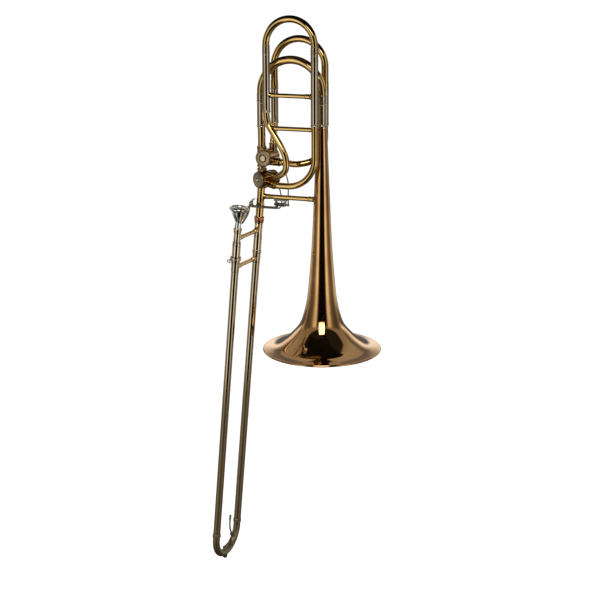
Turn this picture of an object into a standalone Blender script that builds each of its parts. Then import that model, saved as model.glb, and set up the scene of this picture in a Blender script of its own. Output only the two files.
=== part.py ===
"""A bass slide trombone with two rotary valves in line, modelled at its real size in metres.

The origin is the centre of the bell's mouth and +Z runs up the bell's own axis. The bell, the main
tuning slide and the bell brace lie in the XZ plane. The hand slide hangs from the neck, leans away
from the bell, and its two legs stand nearly square to that plane.
"""
import math

import bmesh
import bpy
from mathutils import Matrix, Vector

MM = 0.001
GAP = 0.35 * MM               # clearance between pieces that slide in or rest on each other
FACE_GAP = 0.3 * MM           # clearance between two pieces that are set face to face

# Bell
BELL_MOUTH_DIAMETER = 241.3 * MM
BELL_WALL = 0.9 * MM
BELL_TOP = 452 * MM
RIM_BEAD_DIAMETER = 4.6 * MM
TAIL_OVERLAP = 7 * MM         # how far the bell's tail goes over its sleeve
BELL_STATIONS = [  # height and outer diameter in millimetres, below the tail's own
    (8, 191), (20, 154), (34, 124), (54, 91), (79, 73), (104, 62), (129, 55.5), (160, 50),
    (200, 43.5), (250, 37.8), (300, 33.5), (350, 29.2), (400, 25),
]
BELL_TAIL_DIAMETER = 20.9 * MM

# Main tuning slide
MAIN_SPREAD = 126 * MM        # centre to centre
MAIN_TUBE_DIAMETER = 16.3 * MM
MAIN_LEG_DIAMETER = 15.3 * MM
MAIN_BOW_SPRING = 521 * MM    # height at which the bow starts to turn
MAIN_BOW_END = 517.5 * MM
MAIN_SLEEVE_TOP = 503.3 * MM
NECK_SLEEVE_BOTTOM = 450 * MM
MAIN_WALL = 0.7 * MM

# Valve loops: the first lies in front of the bell's plane, the second behind it
LOOP_OFFSET = 26 * MM
LOOP_TUBE_DIAMETER = 13.9 * MM
LOOP_LEG_DIAMETER = 12.8 * MM
LOOP_WALL = 0.7 * MM
FIRST_LEFT = -105.4 * MM
FIRST_SPREAD = 99 * MM
FIRST_BOW_SPRING = 614.5 * MM
FIRST_SLEEVE_TOP = 600.5 * MM
FIRST_LEFT_SLEEVE_BOTTOM = 483 * MM
FIRST_RIGHT_SLEEVE_BOTTOM = 459 * MM
FIRST_RETURN_RADIUS = 56 * MM
KNUCKLE_BENDS = ((-100, -27, 456), (-88.5, -30, 440), (-72.5, -32.5, 416), (-63.5, -33, 393),
                 (-65.5, -31, 371))
LOWER_BRACE_Z = 452.8 * MM
SECOND_RETURN_BENDS = ((-3, 28, 425), (-11.5, 28, 400), (-31, 25.5, 382), (-57, 14, 376.5))
SECOND_LEFT = -107.5 * MM
SECOND_SPREAD = 105.3 * MM
SECOND_BOW_SPRING = 570 * MM
SECOND_BOW_END = 541 * MM
SECOND_SLEEVE_TOP = 525 * MM
SECOND_SLEEVE_BOTTOM = 455 * MM

# Neck and hand slide
SLIDE_LEAN = math.radians(5.1)
SLIDE_TURN = math.radians(83.25)   # of the slide's two legs from the bell's plane
NECK_LENGTH = 88.5 * MM       # from the first valve's centre down to the neck's foot
NECK_TUBE_DIAMETER = 15.8 * MM
NECK_WALL = 0.7 * MM
SLIDE_SPREAD = 91.1 * MM
INNER_TUBE_DIAMETER = 13.4 * MM
INNER_TUBE_WALL = 0.55 * MM
OUTER_TUBE_DIAMETER = 15.2 * MM
OUTER_TUBE_WALL = 0.55 * MM
BARREL_DIAMETER = 17 * MM
BARREL_TOP = 28.5 * MM        # the heights below are run down the slide from the neck's foot
BARREL_BOTTOM = 63.5 * MM
INNER_TUBE_END = 655 * MM
FERRULE_TOP = 652 * MM
FERRULE_END = 671.4 * MM
FERRULE_DIAMETER = 17.6 * MM
SLIDE_BOW_STRAIGHT = 8 * MM
INNER_BRACE_AT = 19.5 * MM
OUTER_BRACE_AT = 78.3 * MM
TENON_TOP = -24 * MM
NUT_TOP = -9.4 * MM
NUT_BOTTOM = 2.9 * MM
NUT_DIAMETER = 20.6 * MM
LOCK_HOOK_TURN = math.radians(-117)   # of the hook round its leg, from straight across the slide

# Mouthpiece
MOUTHPIECE_LENGTH = 76 * MM
MOUTHPIECE_SHOWN = 45 * MM    # how far its rim stands above the receiver
RIM_OUTER_DIAMETER = 39 * MM
RIM_INNER_DIAMETER = 27.6 * MM
CUP_DEPTH = 26 * MM
THROAT_DIAMETER = 7 * MM
SHANK_DIAMETER = 12.7 * MM
SHANK_TIP_DIAMETER = 11.4 * MM

# Rotary valves: height, distance right of the neck's axis, turn about the vertical
VALVE_1_HEIGHT = 347.5 * MM
VALVE_2_HEIGHT = 391 * MM
VALVE_1_ASIDE = 13.5 * MM
VALVE_2_ASIDE = 13 * MM
VALVE_1_TURN = math.radians(32)
VALVE_2_TURN = math.radians(7)
CASING_DIAMETER = 34 * MM
CASING_LENGTH = 36 * MM
ROTOR_DIAMETER = 29 * MM
CASING_BORE = ROTOR_DIAMETER + 2 * GAP
STUB_ROOT = 3 * MM            # of the two main stubs, from the middle of the neck at the valve
STUB_REACH = 20 * MM
LOOP_STUB_REACH = 27 * MM
LOOP_STUB_ROOT = 6 * MM
STUB_STOP = 16.4 * MM         # how near to the valve's centre a tube goes inside the main stubs
LOOP_STUB_STOP = 21 * MM
STUB_WALL = 1.1 * MM
CAP_DIAMETER = 33 * MM
CAP_HEIGHT = 4 * MM
BOSS_DIAMETER = 13 * MM
PLATE_HEIGHT = 3.4 * MM
SPINDLE_DIAMETER = 6.4 * MM
STOP_ARM_THICKNESS = 2.4 * MM

# Thumb levers
AXLE_X = -87 * MM
AXLE_Z = 295.5 * MM
AXLE_DIAMETER = 3.6 * MM
AXLE_LENGTH = 26 * MM
LEVER_SWING = math.radians(26)
ROD_ARM = 26 * MM
ROD_DIAMETER = 2.6 * MM
LEVER_HUB_DIAMETER = 7 * MM
LEVER_HUB_LENGTH = 7.4 * MM
LEVER_DROP = 3 * MM           # of the arms across to the paddles, below the axle
ROD_PIN_DIAMETER = 2.6 * MM
LEVER_WIRE_DIAMETER = 3.2 * MM
PADDLE_THICKNESS = 2.2 * MM
# Middle lines of the levers' blades, from the end of each arm
FIRST_BLADE = ((-145.5, -11, 296), (-147, -8, 300.5), (-141, -7, 305.5))
FIRST_BLADE_WIDTH = 20 * MM
SECOND_BLADE = ((-145.6, -26, 297), (-150, -27, 285.5), (-154.3, -27.5, 273.6), (-163, -27, 257.4))
SECOND_BLADE_WIDTH = 15 * MM
BELL_BRACE_LEFT_Z = 310.4 * MM
BRACE_DIAMETER = 9.6 * MM
LOOP_BRACE_DIAMETER = 8.8 * MM
UPPER_BRACE_Z = 517 * MM
SLIDE_BRACE_DIAMETER = 8.2 * MM
BRACE_FLANGE_DIAMETER = 12.5 * MM

# What stands on the hand slide's bow
BUMPER_HEIGHT = 7 * MM
KEY_PIVOT_ANGLE = math.radians(33)
KEY_CUP_ANGLE = math.radians(99)
KEY_PIVOT_RISE = 6.4 * MM

TUBE_SIDES = 12
PIPE_SIDES = 10
DRUM_SIDES = 18
BELL_SIDES = 24

UP = Vector((0, 0, 1))
SLIDE_DOWN = Vector((-math.sin(SLIDE_LEAN), 0, -math.cos(SLIDE_LEAN)))
ACROSS = Vector((math.cos(SLIDE_TURN), math.sin(SLIDE_TURN), 0))
ACROSS = (ACROSS - SLIDE_DOWN * ACROSS.dot(SLIDE_DOWN)).normalized()
SLIDE_NORMAL = ACROSS.cross(SLIDE_DOWN).normalized()
NECK_BEND = Vector((-MAIN_SPREAD, 0, VALVE_1_HEIGHT))
NECK_FOOT = NECK_BEND + SLIDE_DOWN * NECK_LENGTH
ROTOR_ARM = 2 * ROD_ARM * math.sin(LEVER_SWING / 2) / math.sqrt(2)

scene = bpy.context.scene
for old in list(bpy.data.objects):
    bpy.data.objects.remove(old, do_unlink=True)
parts = bpy.data.collections.new("bass_trombone")
scene.collection.children.link(parts)
cutters = bpy.data.collections.new("cutters")
scene.collection.children.link(cutters)


def finish(name, colour, metallic, roughness):
    """A Principled material; the colour is linear."""
    made = bpy.data.materials.new(name)
    made.use_nodes = True
    shader = made.node_tree.nodes["Principled BSDF"]
    shader.inputs["Base Color"].default_value = (*colour, 1)
    shader.inputs["Metallic"].default_value = metallic
    shader.inputs["Roughness"].default_value = roughness
    made.diffuse_color = (*colour, 1)
    return made


ROSE_BRASS = finish("rose_brass", (0.62, 0.30, 0.12), 1, 0.18)
YELLOW_BRASS = finish("yellow_brass", (0.70, 0.45, 0.14), 1, 0.18)
NICKEL_SILVER = finish("nickel_silver", (0.52, 0.46, 0.37), 1, 0.2)
DARK_NICKEL = finish("dark_nickel", (0.22, 0.2, 0.17), 1, 0.3)
SILVER_PLATE = finish("silver_plate", (0.8, 0.8, 0.78), 1, 0.12)
BRUSHED_NICKEL = finish("brushed_nickel", (0.48, 0.45, 0.38), 1, 0.35)
CHROME_NICKEL = finish("chromed_nickel", (0.6, 0.58, 0.54), 1, 0.12)
BLACK_RUBBER = finish("black_rubber", (0.02, 0.02, 0.02), 0, 0.7)


def facing(direction, towards=None):
    """A rotation whose Z is direction and, where given, whose X leans towards a second one."""
    z = direction.normalized()
    x = towards if towards else (Vector((1, 0, 0)) if abs(z.x) < 0.9 else Vector((0, 1, 0)))
    x = (x - z * x.dot(z)).normalized()
    return Matrix((x, z.cross(x), z)).transposed().to_4x4()


def register(thing, home=parts, paint=None):
    home.objects.link(thing)
    if paint:
        thing.data.materials.append(paint)
    if home is cutters:
        thing.hide_render = True
        thing.display_type = "WIRE"
    return thing


def turned(name, profile, paint, base=Vector(), axis=UP, steps=TUBE_SIDES, closed=True, home=parts,
           towards=None):
    """A profile of (radius, height) points, outer side from top to bottom, turned about its axis.

    A closed profile is a ring or a tube, an open one starts and ends on the axis."""
    mesh = bpy.data.meshes.new(name)
    corners = [(radius, 0, height) for radius, height in profile]
    edges = [(i, i + 1) for i in range(len(corners) - 1)]
    if closed:
        edges.append((len(corners) - 1, 0))
    mesh.from_pydata(corners, edges, [])
    thing = bpy.data.objects.new(name, mesh)
    thing.matrix_world = Matrix.Translation(base) @ facing(axis, towards)
    screw = thing.modifiers.new("turn", "SCREW")
    screw.axis = "Z"
    screw.angle = math.tau
    screw.steps = steps
    screw.render_steps = steps
    screw.use_merge_vertices = True
    screw.merge_threshold = 0.00001
    screw.use_smooth_shade = True
    return register(thing, home, paint)


def ring_profile(outer, inner, top, bottom):
    return [(outer, top), (outer, bottom), (inner, bottom), (inner, top)]


def solid_profile(stations):
    """Stations of (radius, height) from top to bottom, closed onto the axis at both ends."""
    return [(0, stations[0][1]), *stations, (0, stations[-1][1])]


def rod(name, start, end, diameter, paint=None, home=parts, steps=TUBE_SIDES):
    length = (end - start).length
    profile = solid_profile([(diameter / 2, length), (diameter / 2, 0)])
    return turned(name, profile, paint, start, end - start, steps, closed=False, home=home)


def smooth_route(points, between):
    """Points on a smooth curve through the given ones, with between steps from each to the next.

    The curve's speed at a point follows how far apart its neighbours are, so it doesn't overshoot."""
    ends = [points[0] * 2 - points[1], *points, points[-1] * 2 - points[-2]]
    route = []
    for before, here, after, later in zip(ends, ends[1:], ends[2:], ends[3:]):
        lead = math.sqrt((here - before).length)
        span = math.sqrt((after - here).length)
        tail = math.sqrt((later - after).length)
        leave = after - here + span * ((here - before) / lead - (after - before) / (lead + span))
        arrive = after - here + span * ((later - after) / tail - (later - here) / (span + tail))
        for step in range(between):
            t = step / between
            route.append(here * (2 * t ** 3 - 3 * t ** 2 + 1) + leave * (t ** 3 - 2 * t ** 2 + t)
                         + after * (3 * t ** 2 - 2 * t ** 3) + arrive * (t ** 3 - t ** 2))
    route.append(points[-1])
    return route


def arc(centre, first, second, radius, start, end, steps):
    """Points from one angle to another in the plane of two unit directions."""
    found = []
    for step in range(steps + 1):
        angle = start + (end - start) * step / steps
        found.append(centre + radius * (first * math.cos(angle) + second * math.sin(angle)))
    return found


def bevelled_curve(name, route, radius, sides, caps):
    """The mesh of a round curve along a route, its caps welded, in world coordinates."""
    data = bpy.data.curves.new(name, "CURVE")
    data.dimensions = "3D"
    data.bevel_depth = radius
    data.bevel_resolution = (sides - 4) // 2
    data.use_fill_caps = caps
    spline = data.splines.new("POLY")
    spline.points.add(len(route) - 1)
    for point, place in zip(spline.points, route):
        point.co = (*place, 1)
    guide = bpy.data.objects.new(name + "_route", data)
    scene.collection.objects.link(guide)
    bpy.context.view_layer.update()
    graph = bpy.context.evaluated_depsgraph_get()
    mesh = bpy.data.meshes.new_from_object(guide.evaluated_get(graph))
    bpy.data.objects.remove(guide)
    work = bmesh.new()
    work.from_mesh(mesh)
    bmesh.ops.remove_doubles(work, verts=work.verts, dist=0.000001)
    bmesh.ops.recalc_face_normals(work, faces=work.faces)
    work.to_mesh(mesh)
    work.free()
    mesh.name = name
    return mesh


def pipe(name, route, diameter, wall, paint):
    """A bent tube: an open round skin along its route, thickened inwards."""
    mesh = bevelled_curve(name, route, diameter / 2, PIPE_SIDES, False)
    mesh.shade_smooth()
    thing = bpy.data.objects.new(name, mesh)
    skin = thing.modifiers.new("wall", "SOLIDIFY")
    skin.thickness = wall
    skin.offset = -1
    skin.use_even_offset = True
    return register(thing, parts, paint)


def wire(name, route, diameter, sides=8, home=cutters):
    """A round wire along a route, to be joined to a piece or cut from one."""
    mesh = bevelled_curve(name, route, diameter / 2, sides, True)
    mesh.shade_smooth()
    return register(bpy.data.objects.new(name, mesh), home)


def boolean(thing, other, operation="DIFFERENCE", solver="EXACT"):
    change = thing.modifiers.new(operation.lower(), "BOOLEAN")
    change.operation = operation
    change.object = other
    change.solver = solver
    return thing


def block(name, sides, base, rotation=Matrix.Identity(4), bevel=0, home=parts, paint=None):
    """A box of the given sides about its base, with rounded edges where bevel is set."""
    work = bmesh.new()
    bmesh.ops.create_cube(work, size=1)
    bmesh.ops.scale(work, verts=work.verts, vec=sides)
    mesh = bpy.data.meshes.new(name)
    work.to_mesh(mesh)
    work.free()
    thing = bpy.data.objects.new(name, mesh)
    thing.matrix_world = Matrix.Translation(base) @ rotation
    if bevel:
        edges = thing.modifiers.new("edges", "BEVEL")
        edges.width = bevel
        edges.segments = 2
    return register(thing, home, paint)


def down_slide(distance, side=0.0):
    """A point on the slide: run down from the neck's foot, and across towards the mouthpiece leg."""
    return NECK_FOOT + SLIDE_DOWN * distance - ACROSS * side


def bell_stations():
    """Heights and outer diameters up the bell, from its mouth to its tail."""
    return [(height * MM, diameter * MM) for height, diameter in BELL_STATIONS] + [
        (BELL_TOP, BELL_TAIL_DIAMETER)]


def bell_profile():
    """The bell's wall; its bead is rolled outwards round a wire at the mouth."""
    bead = RIM_BEAD_DIAMETER / 2
    rim_radius = BELL_MOUTH_DIAMETER / 2 - bead
    outer = [(diameter / 2, height) for height, diameter in reversed(bell_stations())]
    curl = [(rim_radius + bead * math.cos(angle), bead + bead * math.sin(angle))
            for angle in (math.radians(turn) for turn in (110, 45, -20, -85, -150))]
    inner = [(radius - BELL_WALL, height) for radius, height in reversed(outer)]
    inner[0] = (inner[0][0], inner[0][1] - BELL_WALL / 2)
    return outer + curl + inner


def make_bell():
    turned("bell", bell_profile(), ROSE_BRASS, steps=BELL_SIDES)


def sleeve(name, x, y, top, bottom, leg_diameter, paint=NICKEL_SILVER):
    """An outer sleeve of a tuning slide, with a bead at each end."""
    inner = leg_diameter / 2 + GAP
    outer = inner + 0.65 * MM
    bead = outer + 0.75 * MM
    height = top - bottom
    turned(name, [(bead, height), (bead, height - 3 * MM), (outer, height - 3.6 * MM),
                  (outer, 3.6 * MM), (bead, 3 * MM), (bead, 0), (inner, 0), (inner, height)],
           paint, Vector((x, y, bottom)))


def slide_leg(name, x, y, bow_end, sleeve_top, bottom, leg_diameter, tube_diameter):
    """An inner leg of a tuning slide, with the ferrule that carries the bow."""
    outer = leg_diameter / 2
    inner = outer - 0.55 * MM
    ferrule = tube_diameter / 2 + 0.5 * MM
    top = bow_end - FACE_GAP - bottom
    foot = sleeve_top + FACE_GAP - bottom
    turned(name, [(ferrule, top), (ferrule, foot), (outer, foot), (outer, 0), (inner, 0),
                  (inner, top)], NICKEL_SILVER, Vector((x, y, bottom)))


def slide_bow(name, left, spread, y, spring, end, diameter, wall, paint):
    """The U-shaped crook of a tuning slide."""
    middle = Vector((left + spread / 2, y, spring))
    route = arc(middle, Vector((1, 0, 0)), UP, spread / 2, math.pi, 0, 10)
    route = [Vector((left, y, end)), *route, Vector((left + spread, y, end))]
    pipe(name, route, diameter, wall, paint)


def make_tuning_slides():
    main_left = -MAIN_SPREAD
    sleeve("neck_sleeve", main_left, 0, MAIN_SLEEVE_TOP, NECK_SLEEVE_BOTTOM, MAIN_LEG_DIAMETER)
    tail_bottom = BELL_TOP - TAIL_OVERLAP
    inner = MAIN_LEG_DIAMETER / 2 + GAP
    outer = inner + 0.65 * MM
    bead = outer + 0.75 * MM
    height = MAIN_SLEEVE_TOP - tail_bottom
    lip = TAIL_OVERLAP + FACE_GAP
    turned("bell_tail_sleeve",
           [(bead, height), (bead, height - 3 * MM), (outer, height - 3.6 * MM),
            (outer, lip + 7 * MM), (bead + 0.6 * MM, lip + 6 * MM), (bead + 0.6 * MM, lip),
            (outer, lip), (outer, 0), (inner, 0), (inner, height)],
           NICKEL_SILVER, Vector((0, 0, tail_bottom)))
    for side, x in (("left", main_left), ("right", 0)):
        slide_leg(f"main_slide_leg_{side}", x, 0, MAIN_BOW_END, MAIN_SLEEVE_TOP,
                  NECK_SLEEVE_BOTTOM + 8 * MM, MAIN_LEG_DIAMETER, MAIN_TUBE_DIAMETER)
    slide_bow("main_slide_bow", main_left, MAIN_SPREAD, 0, MAIN_BOW_SPRING, MAIN_BOW_END,
              MAIN_TUBE_DIAMETER, MAIN_WALL, YELLOW_BRASS)

    first_right = FIRST_LEFT + FIRST_SPREAD
    for side, x, bottom in (("left", FIRST_LEFT, FIRST_LEFT_SLEEVE_BOTTOM),
                            ("right", first_right, FIRST_RIGHT_SLEEVE_BOTTOM)):
        sleeve(f"first_sleeve_{side}", x, -LOOP_OFFSET, FIRST_SLEEVE_TOP, bottom,
               LOOP_LEG_DIAMETER)
        slide_leg(f"first_slide_leg_{side}", x, -LOOP_OFFSET, FIRST_BOW_SPRING - 2 * MM,
                  FIRST_SLEEVE_TOP, FIRST_LEFT_SLEEVE_BOTTOM + 12 * MM, LOOP_LEG_DIAMETER,
                  LOOP_TUBE_DIAMETER)
    slide_bow("first_slide_bow", FIRST_LEFT, FIRST_SPREAD, -LOOP_OFFSET, FIRST_BOW_SPRING,
              FIRST_BOW_SPRING - 2 * MM, LOOP_TUBE_DIAMETER, LOOP_WALL, YELLOW_BRASS)

    second_right = SECOND_LEFT + SECOND_SPREAD
    for side, x in (("left", SECOND_LEFT), ("right", second_right)):
        sleeve(f"second_sleeve_{side}", x, LOOP_OFFSET, SECOND_SLEEVE_TOP, SECOND_SLEEVE_BOTTOM,
               LOOP_LEG_DIAMETER)
        slide_leg(f"second_slide_leg_{side}", x, LOOP_OFFSET, SECOND_BOW_END, SECOND_SLEEVE_TOP,
                  SECOND_SLEEVE_BOTTOM + 12 * MM, LOOP_LEG_DIAMETER, LOOP_TUBE_DIAMETER)
    slide_bow("second_slide_bow", SECOND_LEFT, SECOND_SPREAD, LOOP_OFFSET, SECOND_BOW_SPRING,
              SECOND_BOW_END, LOOP_TUBE_DIAMETER, LOOP_WALL, YELLOW_BRASS)


class Valve:
    """The place of a rotary valve: its centre, the way its cap faces and the way its ports face."""

    def __init__(self, neck, down, aside, turn):
        self.neck = neck
        self.down = down
        self.cap = Vector((-math.sin(turn), -math.cos(turn), 0))
        self.ports = Vector((math.cos(turn), -math.sin(turn), 0))
        self.centre = self.neck + self.ports * aside

    def port(self, place, reach):
        """A point on a stub, whose place is (across, back, up, angle upwards) from the centre."""
        across, back, up, rise = place
        way = self.ports * math.cos(rise) + UP * math.sin(rise)
        return self.centre + self.ports * across - self.cap * back + UP * up + way * reach


VALVE_1 = Valve(NECK_BEND, SLIDE_DOWN, VALVE_1_ASIDE, VALVE_1_TURN)
VALVE_2 = Valve(Vector((-MAIN_SPREAD, 0, VALVE_2_HEIGHT)), -UP, VALVE_2_ASIDE, VALVE_2_TURN)
# The stubs to each loop, as Valve.port takes them
FIRST_PORTS = ((0, 0, 8.6 * MM, 0), (0, 0, -8.6 * MM, 0))
SECOND_PORTS = ((8 * MM, 9 * MM, 0, math.radians(90)), (0, 0, -8.8 * MM, 0))
NECK_STUB_BORE = NECK_TUBE_DIAMETER + 2 * GAP
LOOP_STUB_BORE = LOOP_LEG_DIAMETER + 2 * GAP


def make_casing(name, valve, stubs):
    """A casing: a bored drum with a stub each way along the neck and one for each end of its loop."""
    half = CASING_LENGTH / 2
    casing = turned(name, solid_profile([(CASING_DIAMETER / 2, half), (CASING_DIAMETER / 2, -half)]),
                    BRUSHED_NICKEL, valve.centre, valve.cap, DRUM_SIDES, closed=False)
    bores = []
    for number, way in enumerate((valve.down, UP)):
        neck_stub = rod(f"{name}_neck_stub_{number}", valve.neck + way * STUB_ROOT,
                        valve.neck + way * STUB_REACH, NECK_STUB_BORE + 2 * STUB_WALL,
                        home=cutters)
        boolean(casing, neck_stub, "UNION", "MANIFOLD")
        bores.append((valve.neck + way * (STUB_ROOT + STUB_WALL),
                      valve.neck + way * (STUB_REACH + 2 * MM), NECK_STUB_BORE))
    for number, (root, tip) in enumerate(stubs):
        stub = rod(f"{name}_loop_stub_{number}", root, tip, LOOP_STUB_BORE + 2 * STUB_WALL,
                   home=cutters)
        boolean(casing, stub, "UNION", "MANIFOLD")
        bores.append((root, tip + (tip - root).normalized() * 2 * MM, LOOP_STUB_BORE))
    bores.append((valve.centre - valve.cap * CASING_LENGTH, valve.centre + valve.cap * CASING_LENGTH,
                  CASING_BORE))
    for number, (start, end, bore) in enumerate(bores):
        sides = DRUM_SIDES if bore == CASING_BORE else TUBE_SIDES
        cutter = rod(f"{name}_bore_{number}", start, end, bore, home=cutters, steps=sides)
        boolean(casing, cutter, solver="MANIFOLD")


def make_valve(number, valve, stubs, boss):
    make_casing(f"valve_casing_{number}", valve, stubs)
    half = CASING_LENGTH / 2 + FACE_GAP
    rim = CAP_DIAMETER / 2
    plug = CASING_BORE / 2 - GAP
    top = CAP_HEIGHT
    turned(f"valve_cap_{number}",
           solid_profile([(boss / 2, top + 1.4 * MM), (boss / 2 + 0.4 * MM, top), (rim - 2 * MM, top),
                          (rim, top - 1.4 * MM), (rim, 0), (plug, 0), (plug, -1.6 * MM)]),
           BRUSHED_NICKEL, valve.centre + valve.cap * half, valve.cap, DRUM_SIDES, closed=False)
    hole = SPINDLE_DIAMETER / 2 + GAP
    turned(f"valve_plate_{number}",
           [(rim - 1 * MM, PLATE_HEIGHT), (rim, PLATE_HEIGHT - 1 * MM), (rim, 0), (plug, 0),
            (plug, -1.6 * MM), (hole, -1.6 * MM), (hole, PLATE_HEIGHT)],
           BRUSHED_NICKEL, valve.centre - valve.cap * half, -valve.cap, DRUM_SIDES)
    make_rotor(number, valve, half)
    make_stop_arm(number, valve, half)


def make_rotor(number, valve, half):
    """A rotor with its two scalloped passages and the spindle that runs out through the plate."""
    radius = ROTOR_DIAMETER / 2
    end = CASING_LENGTH / 2 - 1.6 * MM - FACE_GAP
    spindle = SPINDLE_DIAMETER / 2
    tail = half + PLATE_HEIGHT + STOP_ARM_THICKNESS + 1.6 * MM
    rotor = turned(f"rotor_{number}",
                   solid_profile([(spindle, tail), (spindle, end), (radius, end), (radius, -end)]),
                   DARK_NICKEL, valve.centre, -valve.cap, DRUM_SIDES, closed=False)
    for side in (-1, 1):
        start = valve.centre + valve.ports * side * radius - UP * 2 * radius
        scallop = rod(f"rotor_{number}_scallop_{side + 1}", start, start + UP * 4 * radius,
                      13 * MM, home=cutters, steps=12)
        boolean(rotor, scallop)


def arm_eye(valve, half):
    """The centre of the stop arm's eye at rest."""
    away = half + PLATE_HEIGHT + FACE_GAP + STOP_ARM_THICKNESS / 2
    turn = math.radians(-45)
    return (valve.centre - valve.cap * away + valve.ports * ROTOR_ARM * math.cos(turn)
            + UP * ROTOR_ARM * math.sin(turn))


def make_stop_arm(number, valve, half):
    """The arm on the rotor's spindle: a hub and an eye joined by a web."""
    away = half + PLATE_HEIGHT + FACE_GAP
    hub_place = valve.centre - valve.cap * away
    hub = SPINDLE_DIAMETER / 2 + 2.6 * MM
    hole = SPINDLE_DIAMETER / 2 + GAP
    thick = STOP_ARM_THICKNESS
    arm = turned(f"stop_arm_{number}", ring_profile(hub, hole, thick, 0), DARK_NICKEL, hub_place,
                 -valve.cap, 16)
    eye = arm_eye(valve, half)
    tip = rod(f"stop_arm_{number}_eye", eye + valve.cap * thick / 2, eye - valve.cap * thick / 2,
              7 * MM, home=cutters, steps=12)
    boolean(arm, tip, "UNION")
    turn = math.radians(-135)
    heel_centre = (hub_place - valve.cap * thick / 2 + valve.ports * (hub + 1 * MM) * math.cos(turn)
                   + UP * (hub + 1 * MM) * math.sin(turn))
    heel = block(f"stop_arm_{number}_heel", (4 * MM, 4 * MM, thick * 0.9), heel_centre,
                 facing(-valve.cap), home=cutters)
    boolean(arm, heel, "UNION")


def loop_stubs(valve, places):
    return [(valve.port(place, LOOP_STUB_ROOT), valve.port(place, LOOP_STUB_REACH))
            for place in places]


def stub_route(valve, place):
    """The points of a pipe that goes straight into a stub, from outside inwards."""
    reaches = (LOOP_STUB_REACH + 7 * MM, LOOP_STUB_REACH, LOOP_STUB_STOP)
    return [valve.port(place, reach) for reach in reaches]


def make_valves():
    make_valve(1, VALVE_1, loop_stubs(VALVE_1, FIRST_PORTS), 6 * MM)
    make_valve(2, VALVE_2, loop_stubs(VALVE_2, SECOND_PORTS), BOSS_DIAMETER)


def make_neck():
    """The neck: from the hand slide's joint up through both valves to the main tuning slide."""
    radius = NECK_TUBE_DIAMETER / 2
    inner = radius - NECK_WALL
    top = NECK_LENGTH - STUB_STOP
    foot = NUT_BOTTOM - 1.2 * MM
    band = NECK_LENGTH - 56 * MM
    turned("gooseneck_tube",
           [(radius, top), (radius, band + 2.2 * MM), (radius + 0.8 * MM, band + 1.6 * MM),
            (radius + 0.8 * MM, band - 1.6 * MM), (radius, band - 2.2 * MM), (radius, -foot),
            (inner, -foot), (inner, top)],
           YELLOW_BRASS, NECK_FOOT, -SLIDE_DOWN)
    low = VALVE_1.neck + UP * STUB_STOP
    turned("valve_joint_tube",
           ring_profile(radius, inner, VALVE_2_HEIGHT - STUB_STOP - low.z, 0), NICKEL_SILVER, low)
    low = VALVE_2.neck + UP * STUB_STOP
    radius = MAIN_LEG_DIAMETER / 2
    wide = NECK_TUBE_DIAMETER / 2
    step = VALVE_2_HEIGHT + STUB_REACH + 3 * MM - low.z
    top = NECK_SLEEVE_BOTTOM + 7 * MM - low.z
    turned("neckpipe",
           [(radius, top), (radius, step + 2 * MM), (wide, step), (wide, 0),
            (radius - NECK_WALL, 0), (radius - NECK_WALL, top)], YELLOW_BRASS, low)


def sleeve_route(x, y, bottom):
    """The points of a pipe that leaves a sleeve straight down, from inside outwards."""
    return [Vector((x, y, bottom + drop)) for drop in (8 * MM, 0, -8 * MM)]


def knuckle_route():
    """The S-shaped way from the first loop's left sleeve down to the first valve."""
    bends = [Vector(place) * MM for place in KNUCKLE_BENDS]
    return smooth_route([*sleeve_route(FIRST_LEFT, -LOOP_OFFSET, FIRST_LEFT_SLEEVE_BOTTOM), *bends,
                         *stub_route(VALVE_1, FIRST_PORTS[0])], 2)


def make_loop_pipes():
    """The four pipes between the loops' sleeves and the valves' stubs."""
    tube = LOOP_LEG_DIAMETER
    lower = FIRST_PORTS[1]
    pipe("first_knuckle_pipe", knuckle_route(), tube, LOOP_WALL, YELLOW_BRASS)

    right = FIRST_LEFT + FIRST_SPREAD
    entry = stub_route(VALVE_1, lower)
    level = entry[0].z
    bend = Vector((right - FIRST_RETURN_RADIUS, -LOOP_OFFSET, level + FIRST_RETURN_RADIUS))
    quarter = arc(bend, Vector((1, 0, 0)), UP, FIRST_RETURN_RADIUS, 0, -math.pi / 2, 6)
    top = Vector((right, -LOOP_OFFSET, FIRST_RIGHT_SLEEVE_BOTTOM + 8 * MM))
    middle = Vector(((quarter[-1].x + entry[0].x) / 2, (quarter[-1].y + entry[0].y) / 2, level))
    run = smooth_route([quarter[-2], quarter[-1], middle, *entry], 2)
    pipe("first_return_pipe", [top, *quarter[:-1], *run[2:]], tube, LOOP_WALL, YELLOW_BRASS)

    upper, lower = SECOND_PORTS
    route = [*sleeve_route(SECOND_LEFT, LOOP_OFFSET, SECOND_SLEEVE_BOTTOM),
             *stub_route(VALVE_2, upper)]
    pipe("second_down_pipe", smooth_route(route, 2), tube, LOOP_WALL, YELLOW_BRASS)

    right = SECOND_LEFT + SECOND_SPREAD
    route = [*sleeve_route(right, LOOP_OFFSET, SECOND_SLEEVE_BOTTOM),
             *(Vector(place) * MM for place in SECOND_RETURN_BENDS),
             *stub_route(VALVE_2, lower)]
    pipe("second_return_pipe", smooth_route(route, 2), tube, LOOP_WALL, YELLOW_BRASS)


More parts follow.
